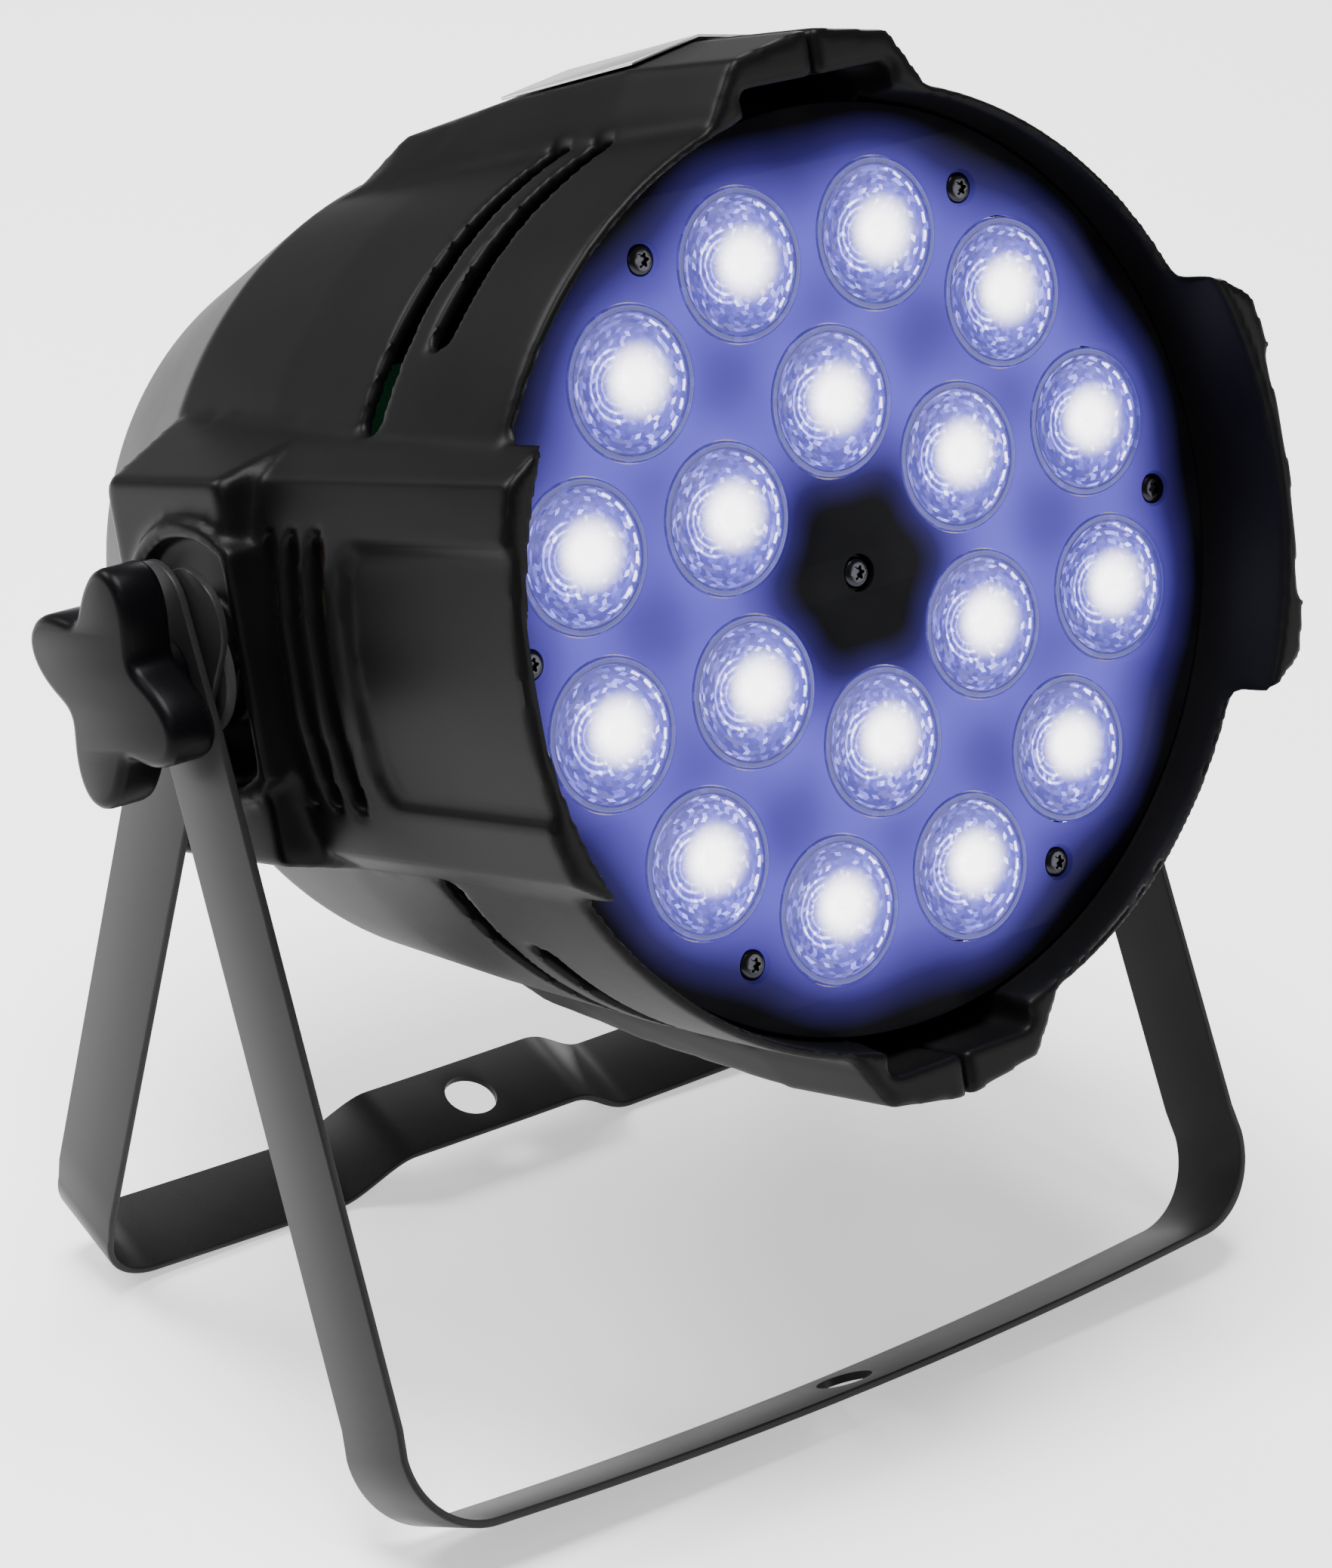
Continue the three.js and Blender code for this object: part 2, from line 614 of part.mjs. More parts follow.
function bar(spec) {
  const line = barLine(spec).map(([x, z]) => new THREE.Vector2(x, z));
  const [outer, inner] = [[], []];
  line.forEach((point, i) => {
    const before = line[Math.max(i - 1, 0)];
    const after = line[Math.min(i + 1, line.length - 1)];
    const along = after.clone().sub(before).normalize();
    const normal = new THREE.Vector2(-along.y, along.x).multiplyScalar(STRAP_THICK / 2);
    outer.push([point.x - normal.x, point.y - normal.y]);
    inner.push([point.x + normal.x, point.y + normal.y]);
  });
  const wide = STRAP_WIDE / 2;
  const place = (y) => (u, v) => [u, y, v];
  let strip = loft([...outer, ...inner.reverse()], [place(-wide), place(wide)]);
  const ends = roundedRect(-wide, wide, -260, STRAP_END - 0.01, 11.5, 4);
  strip = strip.intersect(plateX(ends, -160, 160));
  const boltHoles = rod('x', 4.5, -160, 160, [0, 0], 14);
  const clampHole = rod('z', CLAMP_HOLE_R, -230, -150, [0, 0], 20);
  return strip.subtract(boltHoles).subtract(clampHole);
}

function brackets() {
  const front = named('front_bracket', bar(FRONT), FINISH.steelBlack());
  front.rotation.x = deg(FRONT_TILT_DEG);
  const rear = named('rear_bracket', bar(REAR), FINISH.steelBlack());
  rear.rotation.x = deg(REAR_TILT_DEG);
  for (const part of [front, rear]) part.position.set(0, PIVOT_Y, PIVOT_Z);
  return [front, rear];
}

function can() {
  const group = new THREE.Group();
  group.name = 'can';
  const parts = [
    ...halves(), labelPlate(), facePanel(), ...lenses(), ...faceScrews(), ...lightEngine(), ...fan(),
    ...boards(), rearPanel(), ...rearFittings(), ...pivotParts(),
  ];
  parts.push(cable('led_cable', LED_CABLE, 1.3, FINISH.red()));
  parts.push(cable('mains_cable', MAINS_CABLE, 3, FINISH.rubber()));
  const inner = new THREE.Group();
  inner.name = 'can_on_pivot';
  inner.add(...parts);
  inner.position.set(0, AXIS_BEFORE_PIVOT, -PIVOT_ABOVE_AXIS);
  group.add(inner);
  group.rotation.x = deg(CAN_TILT_DEG);
  group.position.set(0, PIVOT_Y, PIVOT_Z);
  return group;
}

const root = new THREE.Group();
root.name = 'par_can_light';
root.add(can(), ...brackets());
export default root;
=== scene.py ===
"""Stage par can light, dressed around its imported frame.

Sizes are millimetres in the can's own frame (optical axis along Y, face towards -Y) unless a name says
otherwise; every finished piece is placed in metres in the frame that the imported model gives.
"""

import json
import logging
import math
import random
from dataclasses import dataclass
from enum import Enum
from typing import Optional, Sequence, Union

import bmesh
import bpy
from mathutils import Matrix, Vector


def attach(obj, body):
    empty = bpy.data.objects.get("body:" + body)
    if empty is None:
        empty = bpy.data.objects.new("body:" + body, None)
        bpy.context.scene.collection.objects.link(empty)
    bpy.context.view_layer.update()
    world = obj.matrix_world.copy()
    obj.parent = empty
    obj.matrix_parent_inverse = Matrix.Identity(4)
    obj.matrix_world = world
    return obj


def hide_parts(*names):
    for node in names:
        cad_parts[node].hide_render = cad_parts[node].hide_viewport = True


LOG = logging.getLogger("par_can")
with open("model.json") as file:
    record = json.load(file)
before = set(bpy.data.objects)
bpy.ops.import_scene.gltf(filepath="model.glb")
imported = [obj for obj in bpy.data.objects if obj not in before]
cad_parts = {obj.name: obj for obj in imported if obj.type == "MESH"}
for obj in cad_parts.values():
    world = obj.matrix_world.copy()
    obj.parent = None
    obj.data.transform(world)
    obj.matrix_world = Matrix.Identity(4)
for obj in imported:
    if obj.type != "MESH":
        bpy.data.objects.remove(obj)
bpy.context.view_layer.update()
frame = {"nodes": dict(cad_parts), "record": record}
MM = 0.001

Point = tuple[float, float, float]
Outline = list[tuple[float, float]]
Colour = tuple[float, float, float]
Term = Union["Wire", float]


class Side(Enum):
    """Which side of the can a mirrored piece sits on."""

    LEFT = -1
    RIGHT = 1


class Axis(Enum):
    """The can's axis that a helper runs along."""

    X = "x"
    Y = "y"


class Join(Enum):
    """What a Boolean does with its helper."""

    ADD = "UNION"
    CUT = "DIFFERENCE"
    KEEP = "INTERSECT"


def joint_row(name: str) -> dict:
    """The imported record's row of one joint.

    Args:
        name: The joint's name.

    Returns:
        The row as a dictionary.
    """
    rows = frame["record"]["behaviour"]["joints"]
    return next(row for row in rows if row["name"] == name)


@dataclass(frozen=True)
class CanFrame:
    """Place of the can, which hangs tilted on its pivot."""

    pivot: Vector
    tilt: float
    axis_before_pivot: float = 3.4
    pivot_above_axis: float = 2.8

    def matrix(self) -> Matrix:
        """Can millimetres to the row frame in metres."""
        shift = Matrix.Translation(Vector((0, self.axis_before_pivot, -self.pivot_above_axis)) * MM)
        turn = Matrix.Rotation(self.tilt, 4, "X")
        return Matrix.Translation(self.pivot) @ turn @ shift @ Matrix.Scale(MM, 4)

    def on_pivot(self, tilt: float) -> Matrix:
        """Millimetres about the pivot to the row frame, turned by tilt about X."""
        return Matrix.Translation(self.pivot) @ Matrix.Rotation(tilt, 4, "X") @ Matrix.Scale(MM, 4)


def read_can_frame() -> CanFrame:
    """The can's place, from the pivot and the fan's axis in the record.

    Returns:
        The place.
    """
    pivot = Vector(joint_row("front_bracket_swing")["pos_m"])
    spin = joint_row("fan_spin")["axis"]
    return CanFrame(pivot, math.atan2(spin[2], spin[1]))


CAN = read_can_frame()
TO_WORLD = CAN.matrix()
PIVOT_IN_CAN = (0.0, -CAN.axis_before_pivot, CAN.pivot_above_axis)


# ---------------------------------------------------------------- shader wiring


class Wire:
    """A shader socket that takes part in arithmetic."""

    def __init__(self, tree: bpy.types.NodeTree, socket: bpy.types.NodeSocket) -> None:
        """Holds one output socket of a node tree."""
        self.tree = tree
        self.socket = socket

    def math(self, operation: str, *others: Term) -> "Wire":
        """One Math node on this value.

        Args:
            operation: The Math node's operation.
            others: Its second and third values.

        Returns:
            The node's result.
        """
        node = self.tree.nodes.new("ShaderNodeMath")
        node.operation = operation
        for slot, value in enumerate((self, *others)):
            if isinstance(value, Wire):
                self.tree.links.new(value.socket, node.inputs[slot])
            else:
                node.inputs[slot].default_value = value
        return Wire(self.tree, node.outputs[0])

    def __add__(self, other: Term) -> "Wire":
        """The sum."""
        return self.math("ADD", other)

    def __sub__(self, other: Term) -> "Wire":
        """The difference."""
        return self.math("SUBTRACT", other)

    def __mul__(self, other: Term) -> "Wire":
        """The product."""
        return self.math("MULTIPLY", other)

    def taken_from(self, whole: float) -> "Wire":
        """A number less this value."""
        return self.math("MULTIPLY", -1.0).math("ADD", whole)

    def step(self, low: float, high: float) -> "Wire":
        """A smooth step from 0 to 1; it falls instead where high is less than low.

        Args:
            low: Where it starts.
            high: Where it ends.

        Returns:
            The step.
        """
        node = self.tree.nodes.new("ShaderNodeMapRange")
        node.interpolation_type = "SMOOTHSTEP"
        rising = high >= low
        self.tree.links.new(self.socket, node.inputs["Value"])
        node.inputs["From Min"].default_value = low if rising else high
        node.inputs["From Max"].default_value = high if rising else low
        node.inputs["To Min"].default_value = 0.0 if rising else 1.0
        node.inputs["To Max"].default_value = 1.0 if rising else 0.0
        return Wire(self.tree, node.outputs["Result"])


class Paint:
    """One material under construction."""

    def __init__(self, name: str) -> None:
        """Starts an empty material with a Principled shader."""
        self.material = bpy.data.materials.new(name)
        self.material.use_nodes = True
        self.tree = self.material.node_tree
        self.tree.nodes.clear()
        self.shader = self.tree.nodes.new("ShaderNodeBsdfPrincipled")
        output = self.tree.nodes.new("ShaderNodeOutputMaterial")
        self.tree.links.new(self.shader.outputs[0], output.inputs["Surface"])

    def node(self, kind: str, settings: Optional[dict] = None, output: Union[int, str] = 0,
             **sockets: object) -> Wire:
        """Any node.

        Args:
            kind: Its type name after ShaderNode.
            settings: Node settings, set before its sockets.
            output: Which output to give back.
            sockets: Values or wires by socket name, underscores for spaces.

        Returns:
            The chosen output.
        """
        made = self.tree.nodes.new("ShaderNode" + kind)
        for key, value in (settings or {}).items():
            setattr(made, key, value)
        for key, value in sockets.items():
            socket = made.inputs[key.replace("_", " ")]
            if isinstance(value, Wire):
                self.tree.links.new(value.socket, socket)
            else:
                socket.default_value = value
        return Wire(self.tree, made.outputs[output])

    def place(self) -> Wire:
        """Object coordinates in can millimetres."""
        spot = self.node("TexCoord", output="Object")
        return self.node(
            "Mapping", {"vector_type": "TEXTURE"}, Vector=spot, Location=TO_WORLD.translation,
            Rotation=(CAN.tilt, 0.0, 0.0), Scale=(MM,) * 3)

    def noise(self, scale: float, detail: float = 3.0, roughness: float = 0.55) -> Wire:
        """Noise between about 0.3 and 0.7, scale in features per metre."""
        spot = self.node("TexCoord", output="Object")
        return self.node("TexNoise", Vector=spot, Scale=scale, Detail=detail, Roughness=roughness)

    def ramp(self, value: Wire, stops: Sequence[tuple[float, tuple]]) -> Wire:
        """A colour ramp.

        Args:
            value: What it reads.
            stops: (position, colour) pairs.

        Returns:
            The colour.
        """
        made = self.tree.nodes.new("ShaderNodeValToRGB")
        elements = made.color_ramp.elements
        while len(elements) < len(stops):
            elements.new(1.0)
        for element, (position, colour) in zip(elements, stops):
            element.position = position
            element.color = (*colour, 1.0)
        self.tree.links.new(value.socket, made.inputs["Fac"])
        return Wire(self.tree, made.outputs["Color"])

    def mix(self, factor: Term, first: Union[Wire, Colour], second: Union[Wire, Colour]) -> Wire:
        """A colour between two colours.

        Args:
            factor: 0 for the first, 1 for the second.
            first: One colour.
            second: The other.

        Returns:
            The blend.
        """
        made = self.tree.nodes.new("ShaderNodeMix")
        made.data_type = "RGBA"
        made.clamp_factor = True
        for index, value in ((0, factor), (6, first), (7, second)):
            if isinstance(value, Wire):
                self.tree.links.new(value.socket, made.inputs[index])
            elif index == 0:
                made.inputs[index].default_value = value
            else:
                made.inputs[index].default_value = (*value, 1.0)
        return Wire(self.tree, made.outputs[2])

    def bump(self, height: Wire, strength: float, distance: float) -> None:
        """Bump on the shader's normal; distance in metres."""
        normal = self.node("Bump", Height=height, Strength=strength, Distance=distance)
        self.tree.links.new(normal.socket, self.shader.inputs["Normal"])

    def split_up(self, vector: Wire) -> tuple[Wire, Wire, Wire]:
        """A vector's three numbers.

        Args:
            vector: The vector.

        Returns:
            Its x, y and z.
        """
        node = self.tree.nodes.new("ShaderNodeSeparateXYZ")
        self.tree.links.new(vector.socket, node.inputs[0])
        return tuple(Wire(self.tree, node.outputs[index]) for index in range(3))

    def set(self, **sockets: object) -> None:
        """Values or wires on the Principled shader.

        Args:
            sockets: What each socket gets, underscores for spaces in its name.
        """
        for key, value in sockets.items():
            socket = self.shader.inputs[key.replace("_", " ")]
            if isinstance(value, Wire):
                self.tree.links.new(value.socket, socket)
            elif socket.type == "RGBA" and len(value) == 3:
                socket.default_value = (*value, 1.0)
            else:
                socket.default_value = value


def hypotenuse(a: Wire, b: Wire) -> Wire:
    """How long a step of a and b is."""
    return (a * a + b * b).math("SQRT")


def shaded(colour: Colour, factor: float) -> Colour:
    """A colour made darker or lighter, at most 1."""
    return tuple(min(1.0, channel * factor) for channel in colour)


@dataclass(frozen=True)
class Finish:
    """A surface with fine grain and a little wandering of tone and gloss, and if asked a painted glow in its
    own colour.
    """

    name: str
    slot: str
    colour: Colour
    roughness: float
    metallic: float = 0.0
    tone: float = 0.25
    gloss_spread: float = 0.12
    grain: float = 1800.0
    grain_depth: float = 0.00002
    grain_strength: float = 0.25
    specular: float = 0.5
    # painted glow: emission in the surface's own colour, standing in for light from the optics inside the can
    painted_glow: float = 0.0
    cloud_scale: float = 22.0

    def make(self) -> bpy.types.Material:
        """The material.

        Returns:
            A new one.
        """
        paint = Paint(self.name)
        cloud = paint.noise(self.cloud_scale, 4.0)
        speck = paint.noise(self.grain, 2.0)
        darker = shaded(self.colour, 1 - self.tone)
        lighter = shaded(self.colour, 1 + self.tone)
        blend = (cloud * 0.6 + speck * 0.4).step(0.3, 0.7)
        rough = (cloud - 0.5) * self.gloss_spread + (speck - 0.5) * (self.gloss_spread * 0.5) + self.roughness
        paint.set(
            Base_Color=paint.mix(blend, darker, lighter), Roughness=rough, Metallic=self.metallic,
            Specular_IOR_Level=self.specular, Emission_Color=self.colour, Emission_Strength=self.painted_glow)
        paint.bump(speck, self.grain_strength, self.grain_depth)
        return paint.material


@dataclass(frozen=True)
class BrushedFinish(Finish):
    """Metal with fine lines drawn along one direction."""

    stretch: tuple[float, float, float] = (1.0, 40.0, 40.0)
    line_scale: float = 120.0

    def make(self) -> bpy.types.Material:
        """The material.

        Returns:
            A new one.
        """
        paint = Paint(self.name)
        spot = paint.node("Mapping", Vector=paint.node("TexCoord", output="Object"), Scale=self.stretch)
        lines = paint.node("TexNoise", Vector=spot, Scale=self.line_scale, Detail=4.0)
        cloud = paint.noise(30.0)
        darker = shaded(self.colour, 1 - self.tone)
        paint.set(
            Base_Color=paint.mix((lines * 0.7 + cloud * 0.3).step(0.35, 0.65), darker, self.colour),
            Roughness=(lines - 0.5) * self.gloss_spread + self.roughness, Metallic=self.metallic)
        paint.bump(lines, self.grain_strength, self.grain_depth)
        return paint.material


@dataclass(frozen=True)
class LitPanelFinish:
    """Polished black sheet with the violet-blue light of the optics set in it painted on as glow."""

    name: str = "polished_black_lit"
    slot: str = "panel"
    rings: tuple[tuple[int, float, float], ...] = ((12, 77.0, 15.0), (6, 39.6, 30.0))
    spreads: tuple[float, float] = (20.5, 18.0)
    strength: float = 1.8
    lobe_depth: float = 0.13
    specular: float = 0.015
    glow: tuple = ((0.0, (0.0, 0.0, 0.0)), (0.16, (0.0, 0.0, 0.0)), (0.34, (0.014, 0.01, 0.075)),
                   (0.62, (0.068, 0.052, 0.34)), (0.85, (0.125, 0.103, 0.64)), (1.0, (0.19, 0.165, 0.9)))

    def painted_glow(self, x: Wire, z: Wire, ring: tuple[int, float, float], spread: float) -> Wire:
        """Painted glow: light that one ring of optics spills on the sheet round it.

        Args:
            x: Can x in millimetres.
            z: Can z in millimetres.
            ring: Count, radius and first angle in degrees.
            spread: How far it fades, in millimetres.

        Returns:
            About 0 to 1.
        """
        count, radius, first = ring
        reach = hypotenuse(x, z)
        away = (reach - radius) * (1 / spread)
        lobes = ((z.math("ARCTAN2", x) - math.radians(first)) * count).math("COSINE")
        return (away * away * -1.0).math("EXPONENT") * (lobes * self.lobe_depth + (1 - self.lobe_depth))

    def make(self) -> bpy.types.Material:
        """The material.

        Returns:
            A new one.
        """
        paint = Paint(self.name)
        x, _, z = paint.split_up(paint.place())
        outer, inner = (self.painted_glow(x, z, ring, spread) for ring, spread in zip(self.rings, self.spreads))
        # painted glow: the optics' light on the sheet, summed over both rings, wavering with the haze noise
        # and coloured by the glow ramp
        glow = outer + inner
        haze = paint.noise(28.0, 2.0)
        dust = paint.noise(900.0, 2.0)
        glow = glow * ((haze - 0.5) * 0.3 + 1.0)
        colour = paint.ramp(glow.math("MINIMUM", 1.0), self.glow)
        paint.set(
            Base_Color=paint.mix(haze.step(0.35, 0.7), (0.002, 0.002, 0.003), (0.005, 0.005, 0.006)),
            Roughness=(dust - 0.5) * 0.05 + 0.22, Emission_Color=colour, Emission_Strength=self.strength,
            Specular_IOR_Level=self.specular)
        paint.bump(dust, 0.04, 0.00001)
        return paint.material


@dataclass(frozen=True)
class LitLensFinish:
    """Clear faceted optic, lit cold from inside, with the look of its LED's light through the facets painted
    into its emission.

    It reads the piece's UV map, 0.5 at the middle. Distances are parts of the optic's radius, and a pair is
    where a step starts and ends.
    """

    name: str = "clear_optic_lit"
    slot: str = "lens"
    strength: float = 4.4
    core_off: float = 0.2
    core: tuple[float, float] = (0.56, 0.14)
    bloom: tuple[float, float] = (0.95, 0.3)
    arcs_off: float = 0.1
    arc_rate: float = 58.0
    dash_count: float = 22.0
    lip: tuple[float, float] = (0.88, 0.9)
    glow: tuple = ((0.0, (0.006, 0.005, 0.035)), (0.25, (0.026, 0.021, 0.13)), (0.5, (0.07, 0.062, 0.34)),
                   (0.75, (0.2, 0.2, 0.62)), (1.0, (0.7, 0.7, 0.9)))

    def make(self) -> bpy.types.Material:
        """The material.

        Returns:
            A new one.
        """
        paint = Paint(self.name)
        u, v, _ = paint.split_up(paint.node("UVMap", {"uv_map": "optic"}))
        u = (u - 0.5) * 2.0
        v = (v - 0.5) * 2.0
        facet = paint.node("Attribute", {"attribute_name": "facet"}, output="Fac")
        reach = hypotenuse(u, v)
        # Painted light: the glow is the LED's own light, but the hot core set off to the right, its bloom,
        # the nested rings left of it, the bright streaks near the right edge, the facet glints and the faint
        # outline are painted highlights in that emission.
        from_core = hypotenuse(u - self.core_off, v)
        hot = from_core.step(*self.core)
        near = from_core.step(*self.bloom)
        nested = hypotenuse(u + self.arcs_off, v)
        painted_arcs = (nested * self.arc_rate).math("SINE").step(-0.2, 0.9)
        painted_arcs = painted_arcs * nested.step(0.2, 0.28) * nested.step(0.56, 0.46) * u.step(0.02, -0.2)
        painted_edge_glints = (v.math("ARCTAN2", u) * self.dash_count).math("SINE").step(-0.5, -0.2)
        painted_edge_glints = painted_edge_glints * reach.step(0.82, 0.835) * reach.step(0.875, 0.86) * u.step(0.1, 0.5)
        glint = facet * facet
        glint = glint * glint * glint * reach.step(0.2, 0.5)
        rim = reach.step(*self.lip)
        outline = reach.step(0.955, 0.965) * reach.step(0.99, 0.98)
        value = near * 0.3 + facet * 0.1 + 0.16 + glint * 0.42 + painted_arcs * 0.42
        value = value * (rim * 0.72).taken_from(1.0) + painted_edge_glints * 0.6 + outline * 0.1
        colour = paint.mix(hot, paint.ramp(value.math("MINIMUM", 1.0), self.glow), (1.0, 1.0, 1.0))
        paint.set(
            # painted highlight: the base colour turns pale where the hot core is painted
            Base_Color=paint.mix(hot, (0.02, 0.022, 0.08), (0.5, 0.5, 0.55)), Roughness=facet * 0.12 + 0.12,
            Emission_Color=colour, Emission_Strength=self.strength, Specular_IOR_Level=0.2)
        return paint.material


class Look(Enum):
    """Every finish that a piece can wear."""

    SHELL = Finish("satin_black_moulding", "shell", (0.0024, 0.0024, 0.0027), 0.4, grain=2600.0,
                   grain_depth=0.000012, specular=0.06)
    BRACKET = Finish("black_powder_coat", "painted_steel", (0.013, 0.0125, 0.0133), 0.4, grain=2200.0,
                     grain_depth=0.00003, grain_strength=0.35, specular=0.1)
    REAR = Finish("rear_powder_coat", "painted_steel", (0.009, 0.009, 0.0095), 0.45, grain=2200.0,
                  grain_depth=0.00003, grain_strength=0.4, specular=0.1)
    KNOB = Finish("dull_black_moulding", "knob", (0.0015, 0.0015, 0.002), 0.36, grain=1500.0,
                  grain_depth=0.00003, specular=0.05)
    DARK = Finish("inner_black_moulding", "dark_plastic", (0.02, 0.02, 0.021), 0.5)
    RUBBER = Finish("friction_rubber", "rubber", (0.013, 0.013, 0.013), 0.75, grain=1200.0,
                    grain_strength=0.5)
    SHEATH = Finish("cable_sheath", "cable_rubber", (0.015, 0.015, 0.015), 0.6)
    # painted glow: the cream board and the red wire glow a little, standing in for light from the optics that
    # reaches them inside the can
    BOARD = Finish("cream_laminate", "board", (0.68, 0.62, 0.42), 0.55, tone=0.12, painted_glow=0.5)
    GREEN = Finish("solder_resist", "green_board", (0.03, 0.16, 0.08), 0.4, tone=0.3)
    BLUE = Finish("blue_socket_moulding", "blue_socket", (0.03, 0.1, 0.38), 0.42, tone=0.15)
    GREY = Finish("grey_socket_moulding", "grey_socket", (0.33, 0.34, 0.36), 0.42, tone=0.1)
    WIRE = Finish("red_insulation", "red_wire", (0.42, 0.02, 0.015), 0.4, tone=0.15, painted_glow=0.5)
    SCREEN = Finish("smoked_window", "screen", (0.01, 0.02, 0.022), 0.08, grain_strength=0.03,
                    gloss_spread=0.03)
    LABEL = BrushedFinish("blank_silver_plate", "label", (0.6, 0.6, 0.59), 0.35, metallic=0.85, tone=0.15)
    ALLOY = BrushedFinish("extruded_alloy", "alloy", (0.66, 0.67, 0.69), 0.38, metallic=1.0, tone=0.2)
    ZINC = BrushedFinish("bright_zinc", "zinc", (0.4, 0.41, 0.42), 0.3, metallic=1.0, tone=0.2)
    SCREW = BrushedFinish("black_oxide_steel", "screw", (0.03, 0.03, 0.036), 0.22, metallic=1.0, tone=0.3)
    PANEL = LitPanelFinish()
    LENS = LitLensFinish()


class Wardrobe:
    """Makes each finish once and dresses pieces in it."""

    def __init__(self) -> None:
        """Starts with nothing made."""
        self.made: dict[Look, bpy.types.Material] = {}

    def dress(self, piece: bpy.types.Object, look: Look) -> None:
        """Gives a piece one finish.

        Args:
            piece: The piece.
            look: Its finish.
        """
        if look not in self.made:
            self.made[look] = look.value.make()
        piece.data.materials.clear()
        piece.data.materials.append(self.made[look])


WARDROBE = Wardrobe()


# ---------------------------------------------------------------- mesh making


def linked(name: str, data: bpy.types.ID) -> bpy.types.Object:
    """A new object in the scene.

    Args:
        name: Its name.
        data: Its mesh, curve, lamp or camera.

    Returns:
        The object.
    """
    made = bpy.data.objects.new(name, data)
    bpy.context.scene.collection.objects.link(made)
    return made


def new_object(name: str, vertices: Sequence, faces: Sequence, edges: Sequence = ()) -> bpy.types.Object:
    """A mesh object in the scene.

    Args:
        name: Its name.
        vertices: Vertex positions.
        faces: Index lists.
        edges: Index pairs, for a wire without faces.

    Returns:
        The object.
    """
    mesh = bpy.data.meshes.new(name)
    mesh.from_pydata([tuple(vertex) for vertex in vertices], edges, [tuple(face) for face in faces])
    mesh.update()
    return linked(name, mesh)


def cleaned(piece: bpy.types.Object, merge: float = 0.0) -> bpy.types.Object:
    """Merges doubles and turns faces outward.

    Args:
        piece: The object.
        merge: How close doubles are; none are merged at 0.

    Returns:
        The object.
    """
    work = bmesh.new()
    work.from_mesh(piece.data)
    if merge > 0:
        bmesh.ops.remove_doubles(work, verts=work.verts, dist=merge)
    bmesh.ops.recalc_face_normals(work, faces=work.faces)
    work.to_mesh(piece.data)
    work.free()
    return piece


def modifier(piece: bpy.types.Object, kind: str, **settings: object) -> None:
    """Adds a modifier and applies it at once.

    Args:
        piece: The object.
        kind: The modifier's type.
        settings: Its values.
    """
    added = piece.modifiers.new(kind.lower(), kind)
    for key, value in settings.items():
        setattr(added, key, value)
    graph = bpy.context.evaluated_depsgraph_get()
    mesh = bpy.data.meshes.new_from_object(piece.evaluated_get(graph))
    old = piece.data
    piece.modifiers.clear()
    piece.data = mesh
    mesh.name = old.name
    bpy.data.meshes.remove(old)


def combine(piece: bpy.types.Object, other: bpy.types.Object, join: Join) -> None:
    """Boolean with a helper, which is then removed."""
    modifier(piece, "BOOLEAN", object=other, operation=join.value, solver="MANIFOLD")
    drop(other)


def drop(piece: bpy.types.Object) -> None:
    """Removes a helper and its mesh."""
    mesh = piece.data
    bpy.data.objects.remove(piece)
    if mesh.users == 0:
        bpy.data.meshes.remove(mesh)


def smooth(piece: bpy.types.Object, angle: float = 32.0) -> None:
    """Smooth shading that keeps edges sharper than angle degrees."""
    piece.data.shade_smooth()
    piece.data.set_sharp_from_angle(angle=math.radians(angle))


def settle(piece: bpy.types.Object, body: str, look: Look, node: str,
           matrix: Matrix = TO_WORLD, angle: float = 32.0) -> None:
    """Puts a finished piece in the row frame, dresses it and ties it to its body.

    Args:
        piece: The piece, still in its own millimetres.
        body: The body that it rides on.
        look: Its finish.
        node: The node that it stands for.
        matrix: Its place.
        angle: Edges sharper than this stay crisp.
    """
    piece.data.transform(matrix)
    if matrix.determinant() < 0:
        piece.data.flip_normals()
    smooth(piece, angle)
    WARDROBE.dress(piece, look)
    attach(piece, body)
    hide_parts(node)


def rings_object(name: str, rings: Sequence[Sequence[Point]]) -> bpy.types.Object:
    """A skin over rings of equal length, capped at both ends.

    Args:
        name: Its name.
        rings: The rings, in order.

    Returns:
        The object.
    """
    count = len(rings[0])
    vertices = [point for ring in rings for point in ring]
    faces = []
    for row in range(len(rings) - 1):
        here, there = row * count, (row + 1) * count
        for i in range(count):
            j = (i + 1) % count
            faces.append((here + i, here + j, there + j, there + i))
    faces.append(tuple(reversed(range(count))))
    faces.append(tuple(range((len(rings) - 1) * count, len(rings) * count)))
    return cleaned(new_object(name, vertices, faces))


def turned(name: str, profile: Sequence[tuple[float, float]], at: tuple[float, float] = (0.0, 0.0),
           segments: int = 48, axis: Axis = Axis.Y) -> bpy.types.Object:
    """A turned solid made by a Screw modifier.

    Args:
        name: Its name.
        profile: (radius, along) points from one end on the axis to the other.
        at: Place across the axis: (x, z) for Y, (y, z) for X.
        segments: Steps round.
        axis: What it turns about.

    Returns:
        The object.
    """
    vertices = [(radius, 0.0, along) for radius, along in profile]
    piece = new_object(name, vertices, [], [(i, i + 1) for i in range(len(vertices) - 1)])
    modifier(piece, "SCREW", axis="Z", angle=math.tau, steps=segments, render_steps=segments,
             use_merge_vertices=True, merge_threshold=0.001, use_normal_calculate=True)
    if axis is Axis.Y:
        turn = Matrix(((1, 0, 0, at[0]), (0, 0, 1, 0), (0, -1, 0, at[1]), (0, 0, 0, 1)))
    else:
        turn = Matrix(((0, 0, 1, 0), (1, 0, 0, at[0]), (0, 1, 0, at[1]), (0, 0, 0, 1)))
    piece.data.transform(turn)
    return cleaned(piece, 0.0005)


